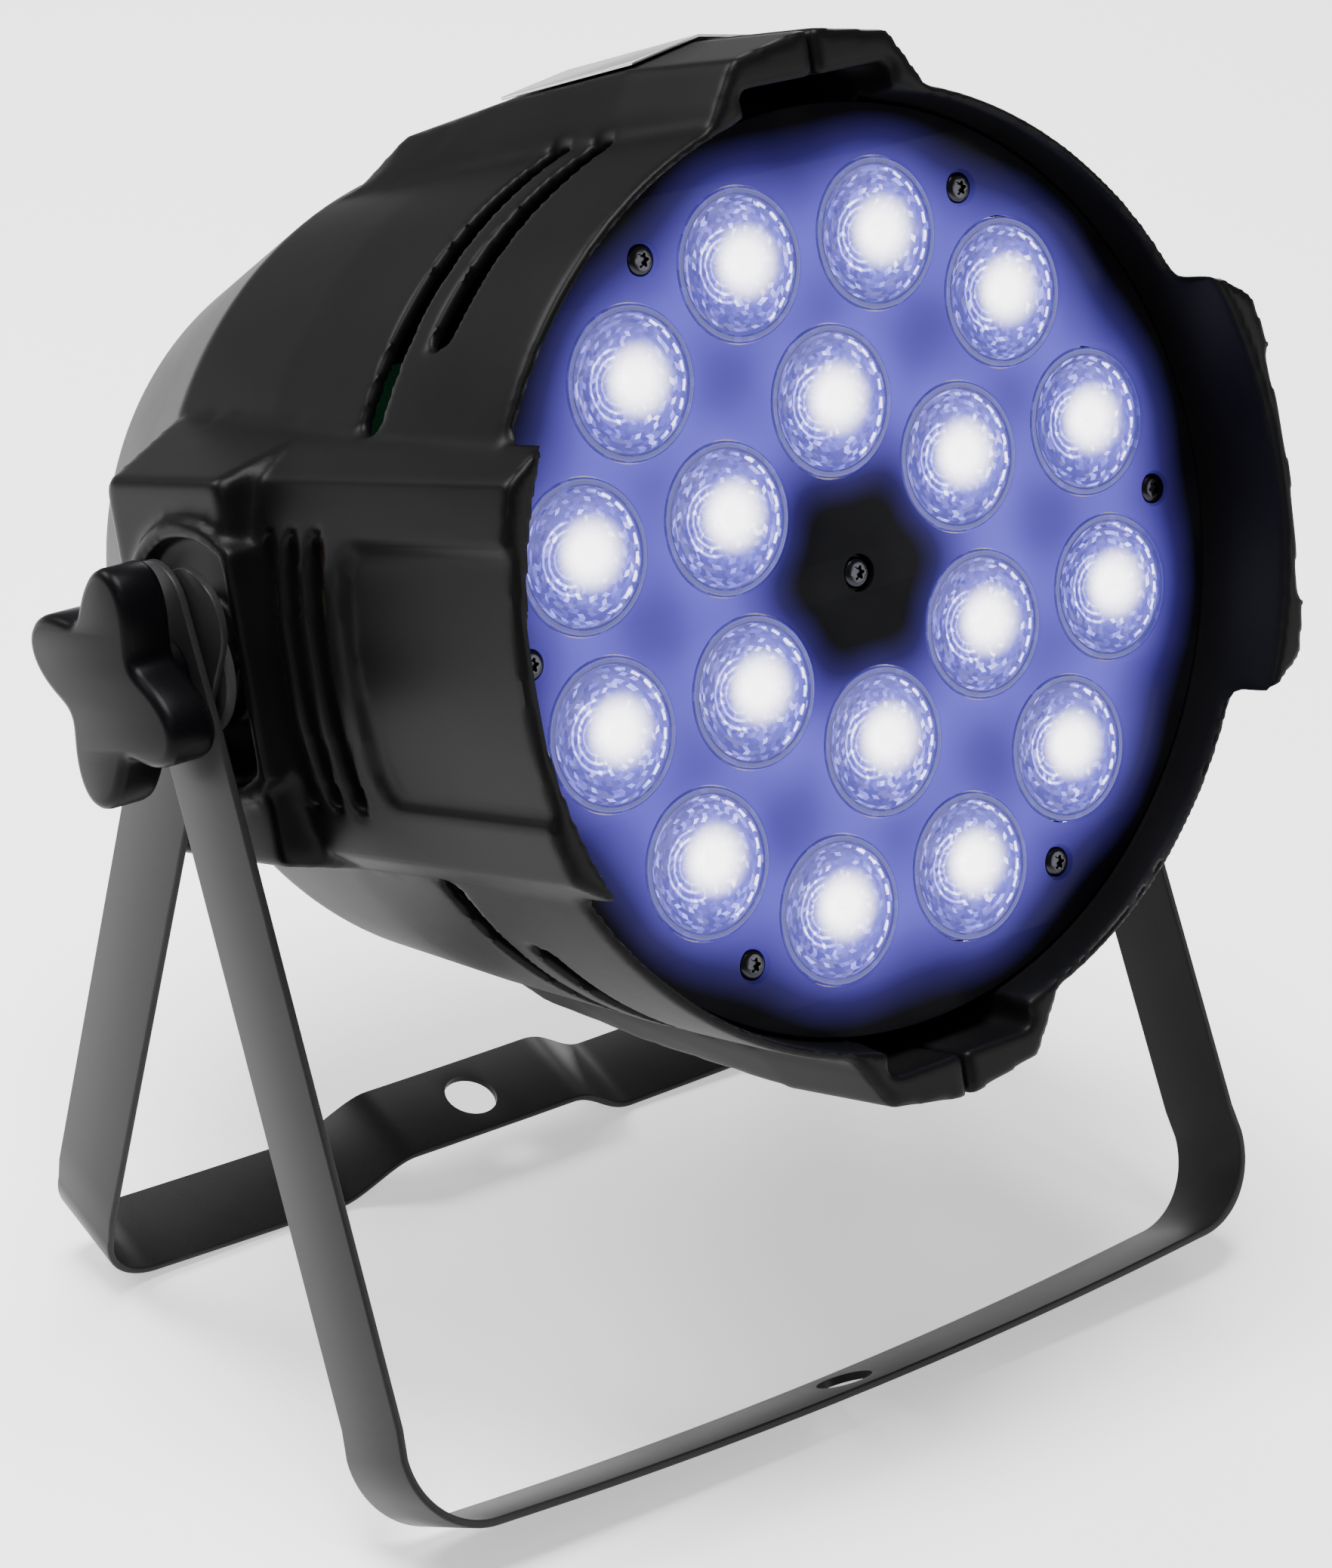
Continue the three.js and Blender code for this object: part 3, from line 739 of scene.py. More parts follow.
def arc(cx: float, cy: float, radius: float, start: float, end: float, steps: int) -> Outline:
    """Points on an arc, angles in degrees."""
    angles = [math.radians(start + (end - start) * i / steps) for i in range(steps + 1)]
    return [(cx + radius * math.cos(a), cy + radius * math.sin(a)) for a in angles]


def rounded_rect(u0: float, u1: float, v0: float, v1: float, radius: float, steps: int = 8) -> Outline:
    """A rectangle with round corners, counter-clockwise."""
    corners = ((u1 - radius, v1 - radius), (u0 + radius, v1 - radius), (u0 + radius, v0 + radius),
               (u1 - radius, v0 + radius))
    return [point for quarter, (u, v) in enumerate(corners)
            for point in arc(u, v, radius, 90 * quarter, 90 * quarter + 90, steps)]


def offset_outline(outline: Outline, inward: float) -> Outline:
    """An outline moved inward along its normals.

    Args:
        outline: Counter-clockwise points.
        inward: How far; outward if negative.

    Returns:
        The moved points.
    """
    moved = []
    count = len(outline)
    for i in range(count):
        before, here, after = outline[i - 1], outline[i], outline[(i + 1) % count]
        along = Vector((after[0] - before[0], after[1] - before[1])).normalized()
        moved.append((here[0] - along.y * inward, here[1] + along.x * inward))
    return moved


def add_spline(curve: bpy.types.Curve, points: Sequence[Point], closed: bool) -> None:
    """A run of straight segments in a curve.

    Args:
        curve: The curve.
        points: Where the segments meet.
        closed: Whether the last joins the first.
    """
    spline = curve.splines.new("POLY")
    spline.points.add(len(points) - 1)
    for knot, spot in zip(spline.points, points):
        knot.co = (*spot, 1.0)
    spline.use_cyclic_u = closed


def meshed(curve: bpy.types.Curve, name: str) -> bpy.types.Object:
    """A mesh object made from a curve, which is then removed.

    Args:
        curve: The curve.
        name: The object's name.

    Returns:
        The object.
    """
    holder = linked(name + "_curve", curve)
    graph = bpy.context.evaluated_depsgraph_get()
    mesh = bpy.data.meshes.new_from_object(holder.evaluated_get(graph))
    bpy.data.objects.remove(holder)
    bpy.data.curves.remove(curve)
    mesh.name = name
    return linked(name, mesh)


def plate(name: str, outline: Outline, holes: Sequence[Outline], start: float, end: float,
          edge: float = 0.4, axis: Axis = Axis.Y) -> bpy.types.Object:
    """A flat plate across one axis with holes and rounded edges, from a filled curve.

    Args:
        name: Its name.
        outline: Outer outline, (x, z) across Y or (y, z) across X.
        holes: Outlines of the holes.
        start: Its first face.
        end: Its other face.
        edge: Edge rounding.
        axis: What it lies across.

    Returns:
        The mesh object.
    """
    curve = bpy.data.curves.new(name, "CURVE")
    curve.dimensions = "2D"
    curve.fill_mode = "BOTH"
    curve.extrude = (end - start) / 2 - edge
    curve.bevel_depth = edge
    curve.bevel_resolution = 2
    for points in (offset_outline(outline, edge), *(offset_outline(hole, -edge) for hole in holes)):
        add_spline(curve, [(u, v, 0.0) for u, v in points], True)
    piece = meshed(curve, name)
    middle = (start + end) / 2
    across_y = Matrix(((1, 0, 0, 0), (0, 0, -1, middle), (0, 1, 0, 0), (0, 0, 0, 1)))
    across_x = Matrix(((0, 0, 1, middle), (1, 0, 0, 0), (0, 1, 0, 0), (0, 0, 0, 1)))
    piece.data.transform(across_y if axis is Axis.Y else across_x)
    return cleaned(piece, 0.001)


def circle(cx: float, cz: float, radius: float, steps: int = 64) -> Outline:
    """A circle's points."""
    return arc(cx, cz, radius, 0, 360 * (steps - 1) / steps, steps - 1)


def prism(name: str, outline: Outline, start: float, end: float, axis: Axis = Axis.X) -> bpy.types.Object:
    """A straight-sided helper solid.

    Args:
        name: Its name.
        outline: (y, z) points along X, or (x, z) points along Y.
        start: Where it starts along the axis.
        end: Where it ends.
        axis: What it runs along.

    Returns:
        The object.
    """
    if axis is Axis.X:
        return rings_object(name, [[(a, u, v) for u, v in outline] for a in (start, end)])
    return rings_object(name, [[(u, a, v) for u, v in outline] for a in (start, end)])


def box_helper(x: Sequence[float], y: Sequence[float], z: Sequence[float]) -> bpy.types.Object:
    """A straight helper block."""
    corners = [(y[0], z[0]), (y[1], z[0]), (y[1], z[1]), (y[0], z[1])]
    return prism("helper_block", corners, x[0], x[1])


def mirrored(piece: bpy.types.Object, name: str, sign: Sequence[int]) -> bpy.types.Object:
    """A mirrored copy, faces turned outward again.

    Args:
        piece: What is copied.
        name: The copy's name.
        sign: -1 on the mirrored axis, 1 on the others.

    Returns:
        The copy.
    """
    copy = linked(name, piece.data.copy())
    copy.data.transform(Matrix.Diagonal((*sign, 1)))
    return cleaned(copy)


@dataclass
class Shell:
    """Two moulded halves that meet in the middle, each with a pad, a pivot block and a dished boss."""

    outer: tuple = ((109.4, -106.2), (110.6, -105.0), (110.3, -94.0), (108.8, -55.8), (105.1, -1.9),
                    (100.7, 47.0), (80.3, 105.9), (69.6, 121.6), (67.8, 123.6))
    inner: tuple = ((109.8, -121.0), (107.0, -91.0), (101.5, -91.0), (101.5, -88.6), (105.8, -87.0),
                    (105.6, -55.8), (97.5, 47.0), (77.4, 105.0), (60.0, 108.5), (60.0, 113.5), (64.7, 113.5),
                    (64.7, 125.0))
    seam: float = 0.15
    segments: int = 160
    grain: float = 1.55
    relax: int = 2
    pad_front: float = -119.9
    pad_radius: float = 136.1
    pad_centre: float = -20.6
    pad_half: float = 43.6
    block_x: float = 118.5
    boss_x: float = 121.5
    boss_radius: float = 33.0
    boss_front: float = -23.6
    boss_rear: float = 28.6
    dish_x: float = 115.0
    dish_wall: float = 3.6
    seat_radius: float = 14.0
    slots: tuple = ((-53.0, -45.4, 28.0, 74.0), (-69.9, -62.3, 38.5, 74.0))
    vents: tuple = (-45.6, -36.0, -26.5)
    vent_wide: float = 5.2
    vent_half: float = 31.4
    heights: tuple = ((-106.2, 119.6), (-67.4, 119.4), (-11.9, 114.0), (5.8, 111.2), (26.6, 108.3),
                      (44.0, 96.0))
    gable: tuple = ((-31.5, 106), (-28.9, 110.5), (-22.3, 119.6), (0, 123.2), (22.3, 119.6), (28.9, 110.5),
                    (31.5, 106), (31, 92), (-31, 92))
    gable_foot: float = 106
    gable_rise: float = 13.6
    core_radius: float = 14
    bore_radius: float = 4.4
    post_radius: float = 3.4
    posts: tuple = ((-52, -28), (-52, 28), (30, -28), (30, 28))
    hollow_line: tuple = ((-88, 90), (-88, 115.4), (-62, 115.4), (18, 105.4), (18, 90))
    hollow_half: float = 21
    mouth_line: tuple = ((-108, 90), (-108, 112.9), (-85, 112.3), (-85, 90))
    mouth_half: float = 21.5

    def radius_at(self, y: float) -> float:
        """The barrel's outer radius at one place.

        Args:
            y: The place along the axis.

        Returns:
            The radius there.
        """
        for (r0, y0), (r1, y1) in zip(self.outer, self.outer[1:]):
            if y <= y1:
                return r0 + (r1 - r0) * (y - y0) / (y1 - y0)
        return self.outer[-1][0]

    def lathe(self, name: str, profile: Sequence[tuple[float, float]]) -> bpy.types.Object:
        """A closed turned solid about the can's axis."""
        closed = [(0.0, profile[0][1]), *profile, (0.0, profile[-1][1])]
        return turned(name, closed, segments=self.segments)

    def ridge(self, side: int) -> bpy.types.Object:
        """Gabled ridge over the seam.

        Args:
            side: 1 at the top, -1 at the bottom.

        Returns:
            The solid.
        """
        foot = self.gable_foot
        rings = []
        for y, height in self.heights:
            base = self.radius_at(y) - 4.6
            stretch = (height - base) / self.gable_rise
            rings.append([(u, y, side * (v - foot + base if v < foot else base + (v - foot) * stretch))
                          for u, v in self.gable])
        return rings_object("ridge", rings)

    def boss_outline(self, shrink: float) -> Outline:
        """Round outline about the pivot, cut straight in front and behind.

        Args:
            shrink: How far inside the boss it lies.

        Returns:
            The (y, z) points.
        """
        _, y0, z0 = PIVOT_IN_CAN
        radius = self.boss_radius - shrink
        points = []
        for u, v in circle(0, 0, radius, 96):
            y = min(max(y0 + u, self.boss_front + shrink), self.boss_rear - shrink)
            points.append((y, z0 + v))
        return points

    def pad(self) -> bpy.types.Object:
        """Pad with its pivot block and boss, before it is hollowed.

        Returns:
            The solid.
        """
        rise = math.degrees(math.asin(self.pad_half / self.pad_radius))
        section = [*arc(self.pad_centre, 0, self.pad_radius, -rise, rise, 40), (99.2, 49.4), (88, 53.5),
                   (88, -53.5), (99.2, -49.4)]
        strip = prism("pad", section, self.pad_front, 24, Axis.Y)
        square = rounded_rect(-1, 1, -1, 1, 0.1)
        stations = ((88.0, 11.0, 36.0, 53.0), (self.block_x - 1.2, 5.0, 25.4, 45.0),
                    (self.block_x, 5.0, 24.4, 44.0))
        root = rings_object("pivot_block", [[(x, y + dy * u, dz * v) for u, v in square]
                                            for x, y, dy, dz in stations])
        combine(strip, root, Join.ADD)
        combine(strip, prism("boss", self.boss_outline(0), 94, self.boss_x), Join.ADD)
        return strip

    def cuts(self) -> list[bpy.types.Object]:
        """Everything that is taken out of the +x half.

        Returns:
            The helpers.
        """
        _, y0, z0 = PIVOT_IN_CAN
        dish = prism("dish", self.boss_outline(self.dish_wall), self.dish_x, self.boss_x + 2)
        combine(dish, prism("seat", circle(y0, z0, self.seat_radius), self.dish_x - 1, 121.2), Join.CUT)
        window = prism("window", rounded_rect(self.pad_front - 12, -55.8, -30, 30, 7.7), 100, 126)
        below = prism("below", circle(self.pad_centre, 0, self.pad_radius - 2.3, 360), -140, 0, Axis.Y)
        combine(window, below, Join.CUT)
        pocket = prism("pocket", circle(self.pad_centre, 0, self.pad_radius - 5.7, 240), -86, 14, Axis.Y)
        combine(pocket, box_helper((90, 120), (-90, 20), (-41, 41)), Join.KEEP)
        combine(pocket, prism("core", circle(y0, z0, self.core_radius), 80, 130), Join.CUT)
        found = [dish, window, pocket]
        half = self.vent_wide / 2
        for y in self.vents:
            slot = rounded_rect(y - half, y + half, -self.vent_half, self.vent_half, half - 0.05)
            found.append(prism("vent", slot, 96, 126))
        for side in (1, -1):
            for name, line, half in (("ridge_hollow", self.hollow_line, self.hollow_half),
                                     ("ridge_mouth", self.mouth_line, self.mouth_half)):
                found.append(prism(name, [(y, side * z) for y, z in line], -half, half))
            for y_from, y_to, start, end in self.slots:
                found.append(self.arc_slot(y_from, y_to, start, end, side))
        return found

    def arc_slot(self, y0: float, y1: float, start: float, end: float, side: int) -> bpy.types.Object:
        """A slot that runs round the barrel and ends round at its lower end.

        Args:
            y0: Its front edge.
            y1: Its rear edge.
            start: Angle of its lower end in degrees.
            end: Angle of its upper end.
            side: 1 above, -1 below.

        Returns:
            The helper.
        """
        half = (y1 - y0) / 2
        rounding = math.degrees(half / 107)
        steps = 24
        band = [(u, side * v) for u, v in arc(0, 0, 128, start + rounding, end, steps)
                + arc(0, 0, 92, end, start + rounding, steps)]
        slot = prism("arc_slot", band, y0, y1, Axis.Y)
        finish = prism("slot_end", circle((y0 + y1) / 2, 0, half, 32), 90, 130)
        finish.data.transform(Matrix.Rotation(-side * math.radians(start + rounding), 4, "Y"))
        combine(slot, finish, Join.ADD)
        return slot

    def half(self) -> bpy.types.Object:
        """The +x half as one moulding with soft edges.

        Returns:
            The moulding.
        """
        _, y0, z0 = PIVOT_IN_CAN
        body = self.lathe("barrel", self.outer)
        for side in (1, -1):
            combine(body, self.ridge(side), Join.ADD)
        combine(body, self.pad(), Join.ADD)
        combine(body, self.lathe("bowl", self.inner), Join.CUT)
        for cut in self.cuts():
            combine(body, cut, Join.CUT)
        for y, z in self.posts:
            post = prism("post", circle(y, z, self.post_radius, 24), 88.9, 109 if y < 0 else 97)
            combine(body, post, Join.ADD)
        combine(body, prism("core", circle(y0, z0, self.core_radius), 92, 112), Join.ADD)
        combine(body, prism("bore", circle(y0, z0, self.bore_radius, 48), 91, 130), Join.CUT)
        combine(body, box_helper((self.seam, 200), (-200, 200), (-200, 200)), Join.KEEP)
        modifier(body, "REMESH", mode="VOXEL", voxel_size=self.grain, use_smooth_shade=True)
        modifier(body, "SMOOTH", factor=0.5, iterations=self.relax)
        return body

    def build(self) -> None:
        """Both halves."""
        right = self.half()
        left = mirrored(right, "moulded_shell_left", (-1, 1, 1))
        right.name = "moulded_shell_right"
        settle(right, "can", Look.SHELL, "shell_right", angle=60)
        settle(left, "can", Look.SHELL, "shell_left", angle=60)
        LOG.info("shell halves: %d faces each", len(right.data.polygons))


def lens_spots() -> list[tuple[float, float]]:
    """Lens centres, the outer ring first.

    Returns:
        The (x, z) places.
    """
    spots = []
    for count, radius, first in LitPanelFinish.rings:
        for i in range(count):
            angle = math.radians(first + 360 * i / count)
            spots.append((radius * math.cos(angle), radius * math.sin(angle)))
    return spots


def screw_spots(ring: float = 92.6) -> list[tuple[float, float]]:
    """Face screw centres, the middle one first and six on a ring."""
    turns = [math.radians(60 * i) for i in range(6)]
    return [(0.0, 0.0), *((ring * math.cos(turn), ring * math.sin(turn)) for turn in turns)]


@dataclass
class Face:
    """Polished panel with eighteen optics and seven screws."""

    front: float = -94.3
    thick: float = 3.0
    radius: float = 106.3
    lens_radius: float = 17.4
    rows: tuple = ((0.0, -90.6), (2.0, -90.6), (3.8, -90.9), (5.4, -91.2), (6.8, -91.5), (8.1, -91.8),
                   (9.3, -92.1), (10.4, -92.4), (11.4, -92.65), (12.4, -92.9), (13.3, -93.1), (14.1, -93.3),
                   (14.8, -93.5), (15.4, -93.6))
    lip: tuple = ((15.6, -94.0), (16.0, -94.1), (17.0, -94.1), (17.4, -93.8), (17.4, -91.8), (13.2, -83.0),
                  (6.5, -75.2))
    lens_gap: float = 0.35
    screw_hole: float = 2.6
    counterbore: float = 4.4
    screw: tuple = ((0, -94.1), (2.4, -94.1), (3.1, -93.85), (3.6, -93.3), (3.6, -92.9), (1.6, -92.9),
                    (1.6, -82), (0, -82))
    facets: int = 54
    jitter: float = 0.22
    seed: int = 18

    def panel(self) -> None:
        """The panel with its holes."""
        holes = [circle(x, z, self.lens_radius + self.lens_gap, 56) for x, z in lens_spots()]
        holes += [circle(x, z, self.screw_hole, 24) for x, z in screw_spots()]
        rim = circle(0, 0, self.radius, 180)
        sheet = plate("face_sheet", rim, holes, self.front, self.front + self.thick, 0.3)
        for x, z in screw_spots():
            sink = circle(x, z, self.counterbore, 32)
            combine(sheet, prism("counterbore", sink, self.front - 1, self.front + 1.7, Axis.Y), Join.CUT)
        settle(sheet, "can", Look.PANEL, "face_panel")

    def ring(self, radius: float, turn: float, depths: Sequence[float]) -> list[Point]:
        """One round row of an optic's points.

        Args:
            radius: Its radius.
            turn: How many facets it is turned by.
            depths: The place of each point along the axis.

        Returns:
            The points.
        """
        angles = [math.tau * (i + turn) / self.facets for i in range(self.facets)]
        return [(radius * math.cos(a), y, radius * math.sin(a)) for a, y in zip(angles, depths)]

    def optic(self, number: int, at: tuple[float, float], node: str) -> None:
        """One faceted optic in its clear ring.

        Args:
            number: Its number, which seeds the facets.
            at: Its centre.
            node: The node that it replaces.
        """
        dice = random.Random(self.seed + number)
        rings = [[(0.0, self.rows[0][1], 0.0)] * self.facets]
        for row, (radius, y) in enumerate(self.rows[1:]):
            turn = (row % 2) * 0.5
            loose = row < len(self.rows) - 2
            depths = [y + (dice.uniform(-self.jitter, self.jitter) if loose else 0.0)
                      for _ in range(self.facets)]
            rings.append(self.ring(radius, turn, depths))
        rings += [self.ring(radius, turn, [y] * self.facets) for radius, y in self.lip]
        cup = rings_object("optic_%02d" % (number + 1), rings)
        cleaned(cup, 0.001)
        self.mark(cup, dice)
        cup.data.transform(Matrix.Translation((at[0], 0, at[1])))
        settle(cup, "can", Look.LENS, node, angle=9)

    def mark(self, cup: bpy.types.Object, dice: random.Random) -> None:
        """Gives each facet its own random value, which the optic's finish paints as glint brightness, and the
        optic its flat map.

        Args:
            cup: The optic, about its own axis.
            dice: Where the brightness comes from.
        """
        mesh = cup.data
        mesh.uv_layers.new(name="optic")
        mesh.attributes.new("facet", "FLOAT", "CORNER")
        flat, shade = [], []
        for face in mesh.polygons:
            value = dice.random()
            for vertex in face.vertices:
                spot = mesh.vertices[vertex].co
                flat += [0.5 + spot.x / (2 * self.lens_radius), 0.5 + spot.z / (2 * self.lens_radius)]
                shade.append(value)
        mesh.uv_layers["optic"].uv.foreach_set("vector", flat)
        mesh.attributes["facet"].data.foreach_set("value", shade)

    def screws(self) -> None:
        """Screws with a six-lobed recess."""
        for number, (x, z) in enumerate(screw_spots()):
            head = turned("face_screw", self.screw, segments=32)
            star = []
            for turn in (math.tau * i / 48 for i in range(48)):
                reach = 1.5 + 0.35 * math.cos(6 * turn)
                star.append((reach * math.cos(turn), reach * math.sin(turn)))
            combine(head, prism("recess", star, -95, -93.1, Axis.Y), Join.CUT)
            head.data.transform(Matrix.Translation((x, 0, z)))
            head.name = "lobed_screw_%d" % (number + 1)
            settle(head, "can", Look.SCREW, "face_screw_%d" % (number + 1))

    def build(self) -> None:
        """Panel, optics and screws."""
        self.panel()
        for number, at in enumerate(lens_spots()):
            ring, place = ("outer", number + 1) if number < 12 else ("inner", number - 11)
            self.optic(number, at, "lens_%s_%02d" % (ring, place))
        self.screws()
        LOG.info("face built")


@dataclass
class Bracket:
    """Flat bar bent to a U, with round ends at the pivot and a clamp hole in the middle."""

    name: str
    body: str
    look: Look
    tilt: float
    top: float
    foot: float
    length: float
    bow: float
    corner: float
    joggle: float
    wide: float = 25.0
    thick: float = 2.0
    end: float = 26.0
    end_corner: float = 11.5
    edge: float = 0.55
    hole: float = 7.1

    def line(self) -> Outline:
        """Centre line of the bar about the pivot.

        Returns:
            The (x, z) points.
        """
        t = self.thick / 2
        foot = self.foot - t

        def leg(z: float) -> float:
            """How far out a leg stands at one height."""
            return self.top - t + (self.foot - self.top) * max(0.0, -z - 16) / self.length

        def floor(x: float) -> float:
            """How low the bar's floor lies at one place across."""
            s = min(max((abs(x) - 26) / 22, 0.0), 1.0)
            lift = self.joggle * (1 - s * s * (3 - 2 * s))
            return -(self.length - t) + self.bow * (x / foot) ** 2 + lift

        tip = [self.end - drop for drop in (0, .15, .6, 1.4, 2.6, 4.2, 6.2, 8.6, 11.5)]
        half = [(leg(z), z) for z in [*tip, *range(12, -17, -4)]]
        bottom = floor(foot - self.corner)
        low = bottom + self.corner
        count = 24
        half += [(leg(-16 + (low + 16) * i / count), -16 + (low + 16) * i / count) for i in range(1, count)]
        half += arc(foot - self.corner, low, self.corner, 0, -86, 20)
        start = foot - self.corner - 3
        half += [(start * (1 - i / 60), floor(start * (1 - i / 60))) for i in range(60)]
        return half + [(0.0, floor(0.0))] + [(-x, z) for x, z in reversed(half)]

    def half_width(self, z: float) -> float:
        """Half the bar's width, which rounds off above the pivot.

        Args:
            z: The height above the pivot.

        Returns:
            The half width there.
        """
        away = max(0.0, z - (self.end - self.end_corner))
        away = min(away, self.end_corner)
        return self.wide / 2 - self.end_corner + math.sqrt(max(0.0, self.end_corner ** 2 - away ** 2))

    def build(self) -> None:
        """The bar, its holes and its coat."""
        line = self.line()
        rings = []
        for i, (x, z) in enumerate(line):
            before, after = line[max(i - 1, 0)], line[min(i + 1, len(line) - 1)]
            along = Vector((after[0] - before[0], after[1] - before[1])).normalized()
            out = Vector((along.y, -along.x))
            half = self.half_width(z)
            edge = min(self.edge, half * 0.9)
            section = rounded_rect(-half, half, -self.thick / 2, self.thick / 2, edge, 3)
            rings.append([(x + out.x * v, u, z + out.y * v) for u, v in section])
        strip = rings_object(self.name, rings)
        combine(strip, prism("pivot_hole", circle(0, 0, 4.5, 32), -160, 160), Join.CUT)
        clamp = prism("clamp_hole", circle(0, 0, self.hole, 64), -250, -150, Axis.Y)
        clamp.data.transform(Matrix.Rotation(math.radians(90), 4, "X"))
        combine(strip, clamp, Join.CUT)
        settle(strip, self.body, self.look, self.body, CAN.on_pivot(math.radians(self.tilt)), 30)
        LOG.info("%s built", self.name)


@dataclass
class Pivot:
    """Star knob, bolt and washer at one side."""

    x0: float = 136.0
    x1: float = 148.5
    mean: float = 23.7
    lobe: float = 6.5
    turn: float = 67.0
    wall: float = 3.2
    hub: float = 10.0
    hub_back: float = 129.6
    bolt_bore: float = 4.3
    washer: tuple = ((4.5, 121.5), (15.4, 121.5), (16.0, 122.0), (16.0, 123.7), (15.4, 124.2), (4.5, 124.2),
                     (4.5, 121.5))

    def star(self, shrink: float, steps: int = 160) -> Outline:
        """Four-lobed outline, counter-clockwise.

        Args:
            shrink: How far inside the knob it lies.
            steps: Points round.

        Returns:
            The (y, z) points.
        """
        points = []
        for i in range(steps):
            angle = math.tau * i / steps
            reach = self.mean + self.lobe * math.cos(4 * angle)
            lean = angle + math.radians(self.turn)
            points.append((-reach * math.cos(lean), reach * math.sin(lean)))
        points.reverse()
        return offset_outline(points, shrink) if shrink else points

    def knob(self) -> bpy.types.Object:
        """The knob with its hollow back and hub.

        Returns:
            The knob about the pivot.
        """
        body = plate("star_knob", self.star(0), [], self.x0, self.x1, 2.4, Axis.X)
        hollow = plate("hollow", self.star(self.wall), [], self.x0 - 3, self.x1 - 5, 0.8, Axis.X)
        combine(hollow, prism("hub_core", circle(0, 0, self.hub, 64), 120, 160), Join.CUT)
        combine(body, hollow, Join.CUT)
        line = [(0, self.hub_back), (self.hub - 1, self.hub_back), (self.hub, self.hub_back + 1),
                (self.hub, self.x1 - 3), (0, self.x1 - 3)]
        hub = turned("hub", line, segments=64, axis=Axis.X)
        combine(body, hub, Join.ADD)
        combine(body, prism("bolt_bore", circle(0, 0, self.bolt_bore, 32), 120, 138), Join.CUT)
        return body

    def build(self, side: Side) -> None:
        """The three pieces of one side.

        Args:
            side: Which side.
        """
        word = side.name.lower()
        bolt = turned("threaded_bolt", self.thread(), segments=40, axis=Axis.X)
        washer = turned("friction_washer", self.washer, segments=72, axis=Axis.X)
        place = TO_WORLD @ Matrix.Translation(PIVOT_IN_CAN) @ Matrix.Diagonal((side.value, 1, 1, 1))
        for piece, body, look, node in (
                (self.knob(), "knob_" + word, Look.KNOB, "knob_" + word),
                (bolt, "knob_" + word, Look.ZINC, "bolt_" + word),
                (washer, "can", Look.RUBBER, "washer_" + word)):
            piece.name = piece.name.split(".")[0] + "_" + word
            settle(piece, body, look, node, place)
        LOG.info("pivot %s built", word)

    def thread(self) -> Outline:
        """Profile of the bolt with fine rings for its thread.

        Returns:
            (radius, along) points.
        """
        points = [(0.0, 100.0), (3.2, 100.0)]
        x = 100.8
        while x < 128:
            points += [(3.95, x), (3.45, x + 0.6)]
            x += 1.2
        return points + [(4.0, 129.0), (4.0, 136.4), (3.0, 137.4), (0.0, 137.4)]


@dataclass
class Refined:
    """A carried shape, welded and given soft edges."""

    node: str
    look: Look
    edge: float = 0.4
    angle: float = 34.0

    def build(self) -> None:
        """A welded, bevelled copy that stands for the node."""
        piece = linked("soft_" + self.node, frame["nodes"][self.node].data.copy())
        work = bmesh.new()
        work.from_mesh(piece.data)
        bmesh.ops.remove_doubles(work, verts=work.verts, dist=0.00001)
        bmesh.ops.dissolve_limit(work, angle_limit=math.radians(2.0), verts=work.verts, edges=work.edges)
        work.to_mesh(piece.data)
        work.free()
        if self.edge > 0:
            modifier(piece, "BEVEL", width=self.edge * MM, segments=2, limit_method="ANGLE",
                     angle_limit=math.radians(self.angle), use_clamp_overlap=True, harden_normals=False)
        settle(piece, frame_body(self.node), self.look, self.node, Matrix(), 38)


def frame_body(node: str) -> str:
    """The body that carries a node."""
    groups = frame["record"]["behaviour"]["bodies"]
    return next(body for body, members in groups.items() if node in members)


@dataclass
class Socket:
    """Round panel socket behind its flange."""

    node: str
    look: Look
    x: float
    z: float
    core: float
    pins: tuple
    pin_hole: float = 1.5
    flange_screw: tuple = ((0, 118.6), (1.1, 118.6), (1.1, 119.35), (0.8, 119.5), (0, 119.5))
    screws: tuple = ((9.6, 6.9), (-9.6, -6.9))

    def build(self) -> None:
        """Flange, throat, core and pins."""
        core = self.core
        shape = turned(self.node + "_socket", [
            (0, 99.0), (11.0, 99.0), (11.0, 117.1), (12.6, 117.1), (13.0, 117.5), (13.0, 118.6),
            (12.5, 119.1), (9.0, 119.1), (8.4, 118.6), (8.4, 104.0), (core, 104.0), (core, 115.9),
            (core - 0.6, 116.5), (0, 116.5)], segments=64)
        for x, z in self.pins:
            combine(shape, prism("pin_hole", circle(x, z, self.pin_hole, 20), 108, 120, Axis.Y), Join.CUT)
        for spot in self.screws:
            combine(shape, turned("flange_screw", self.flange_screw, spot, 20), Join.ADD)
        shape.data.transform(Matrix.Translation((self.x, 0, self.z)))
        settle(shape, "can", self.look, self.node)


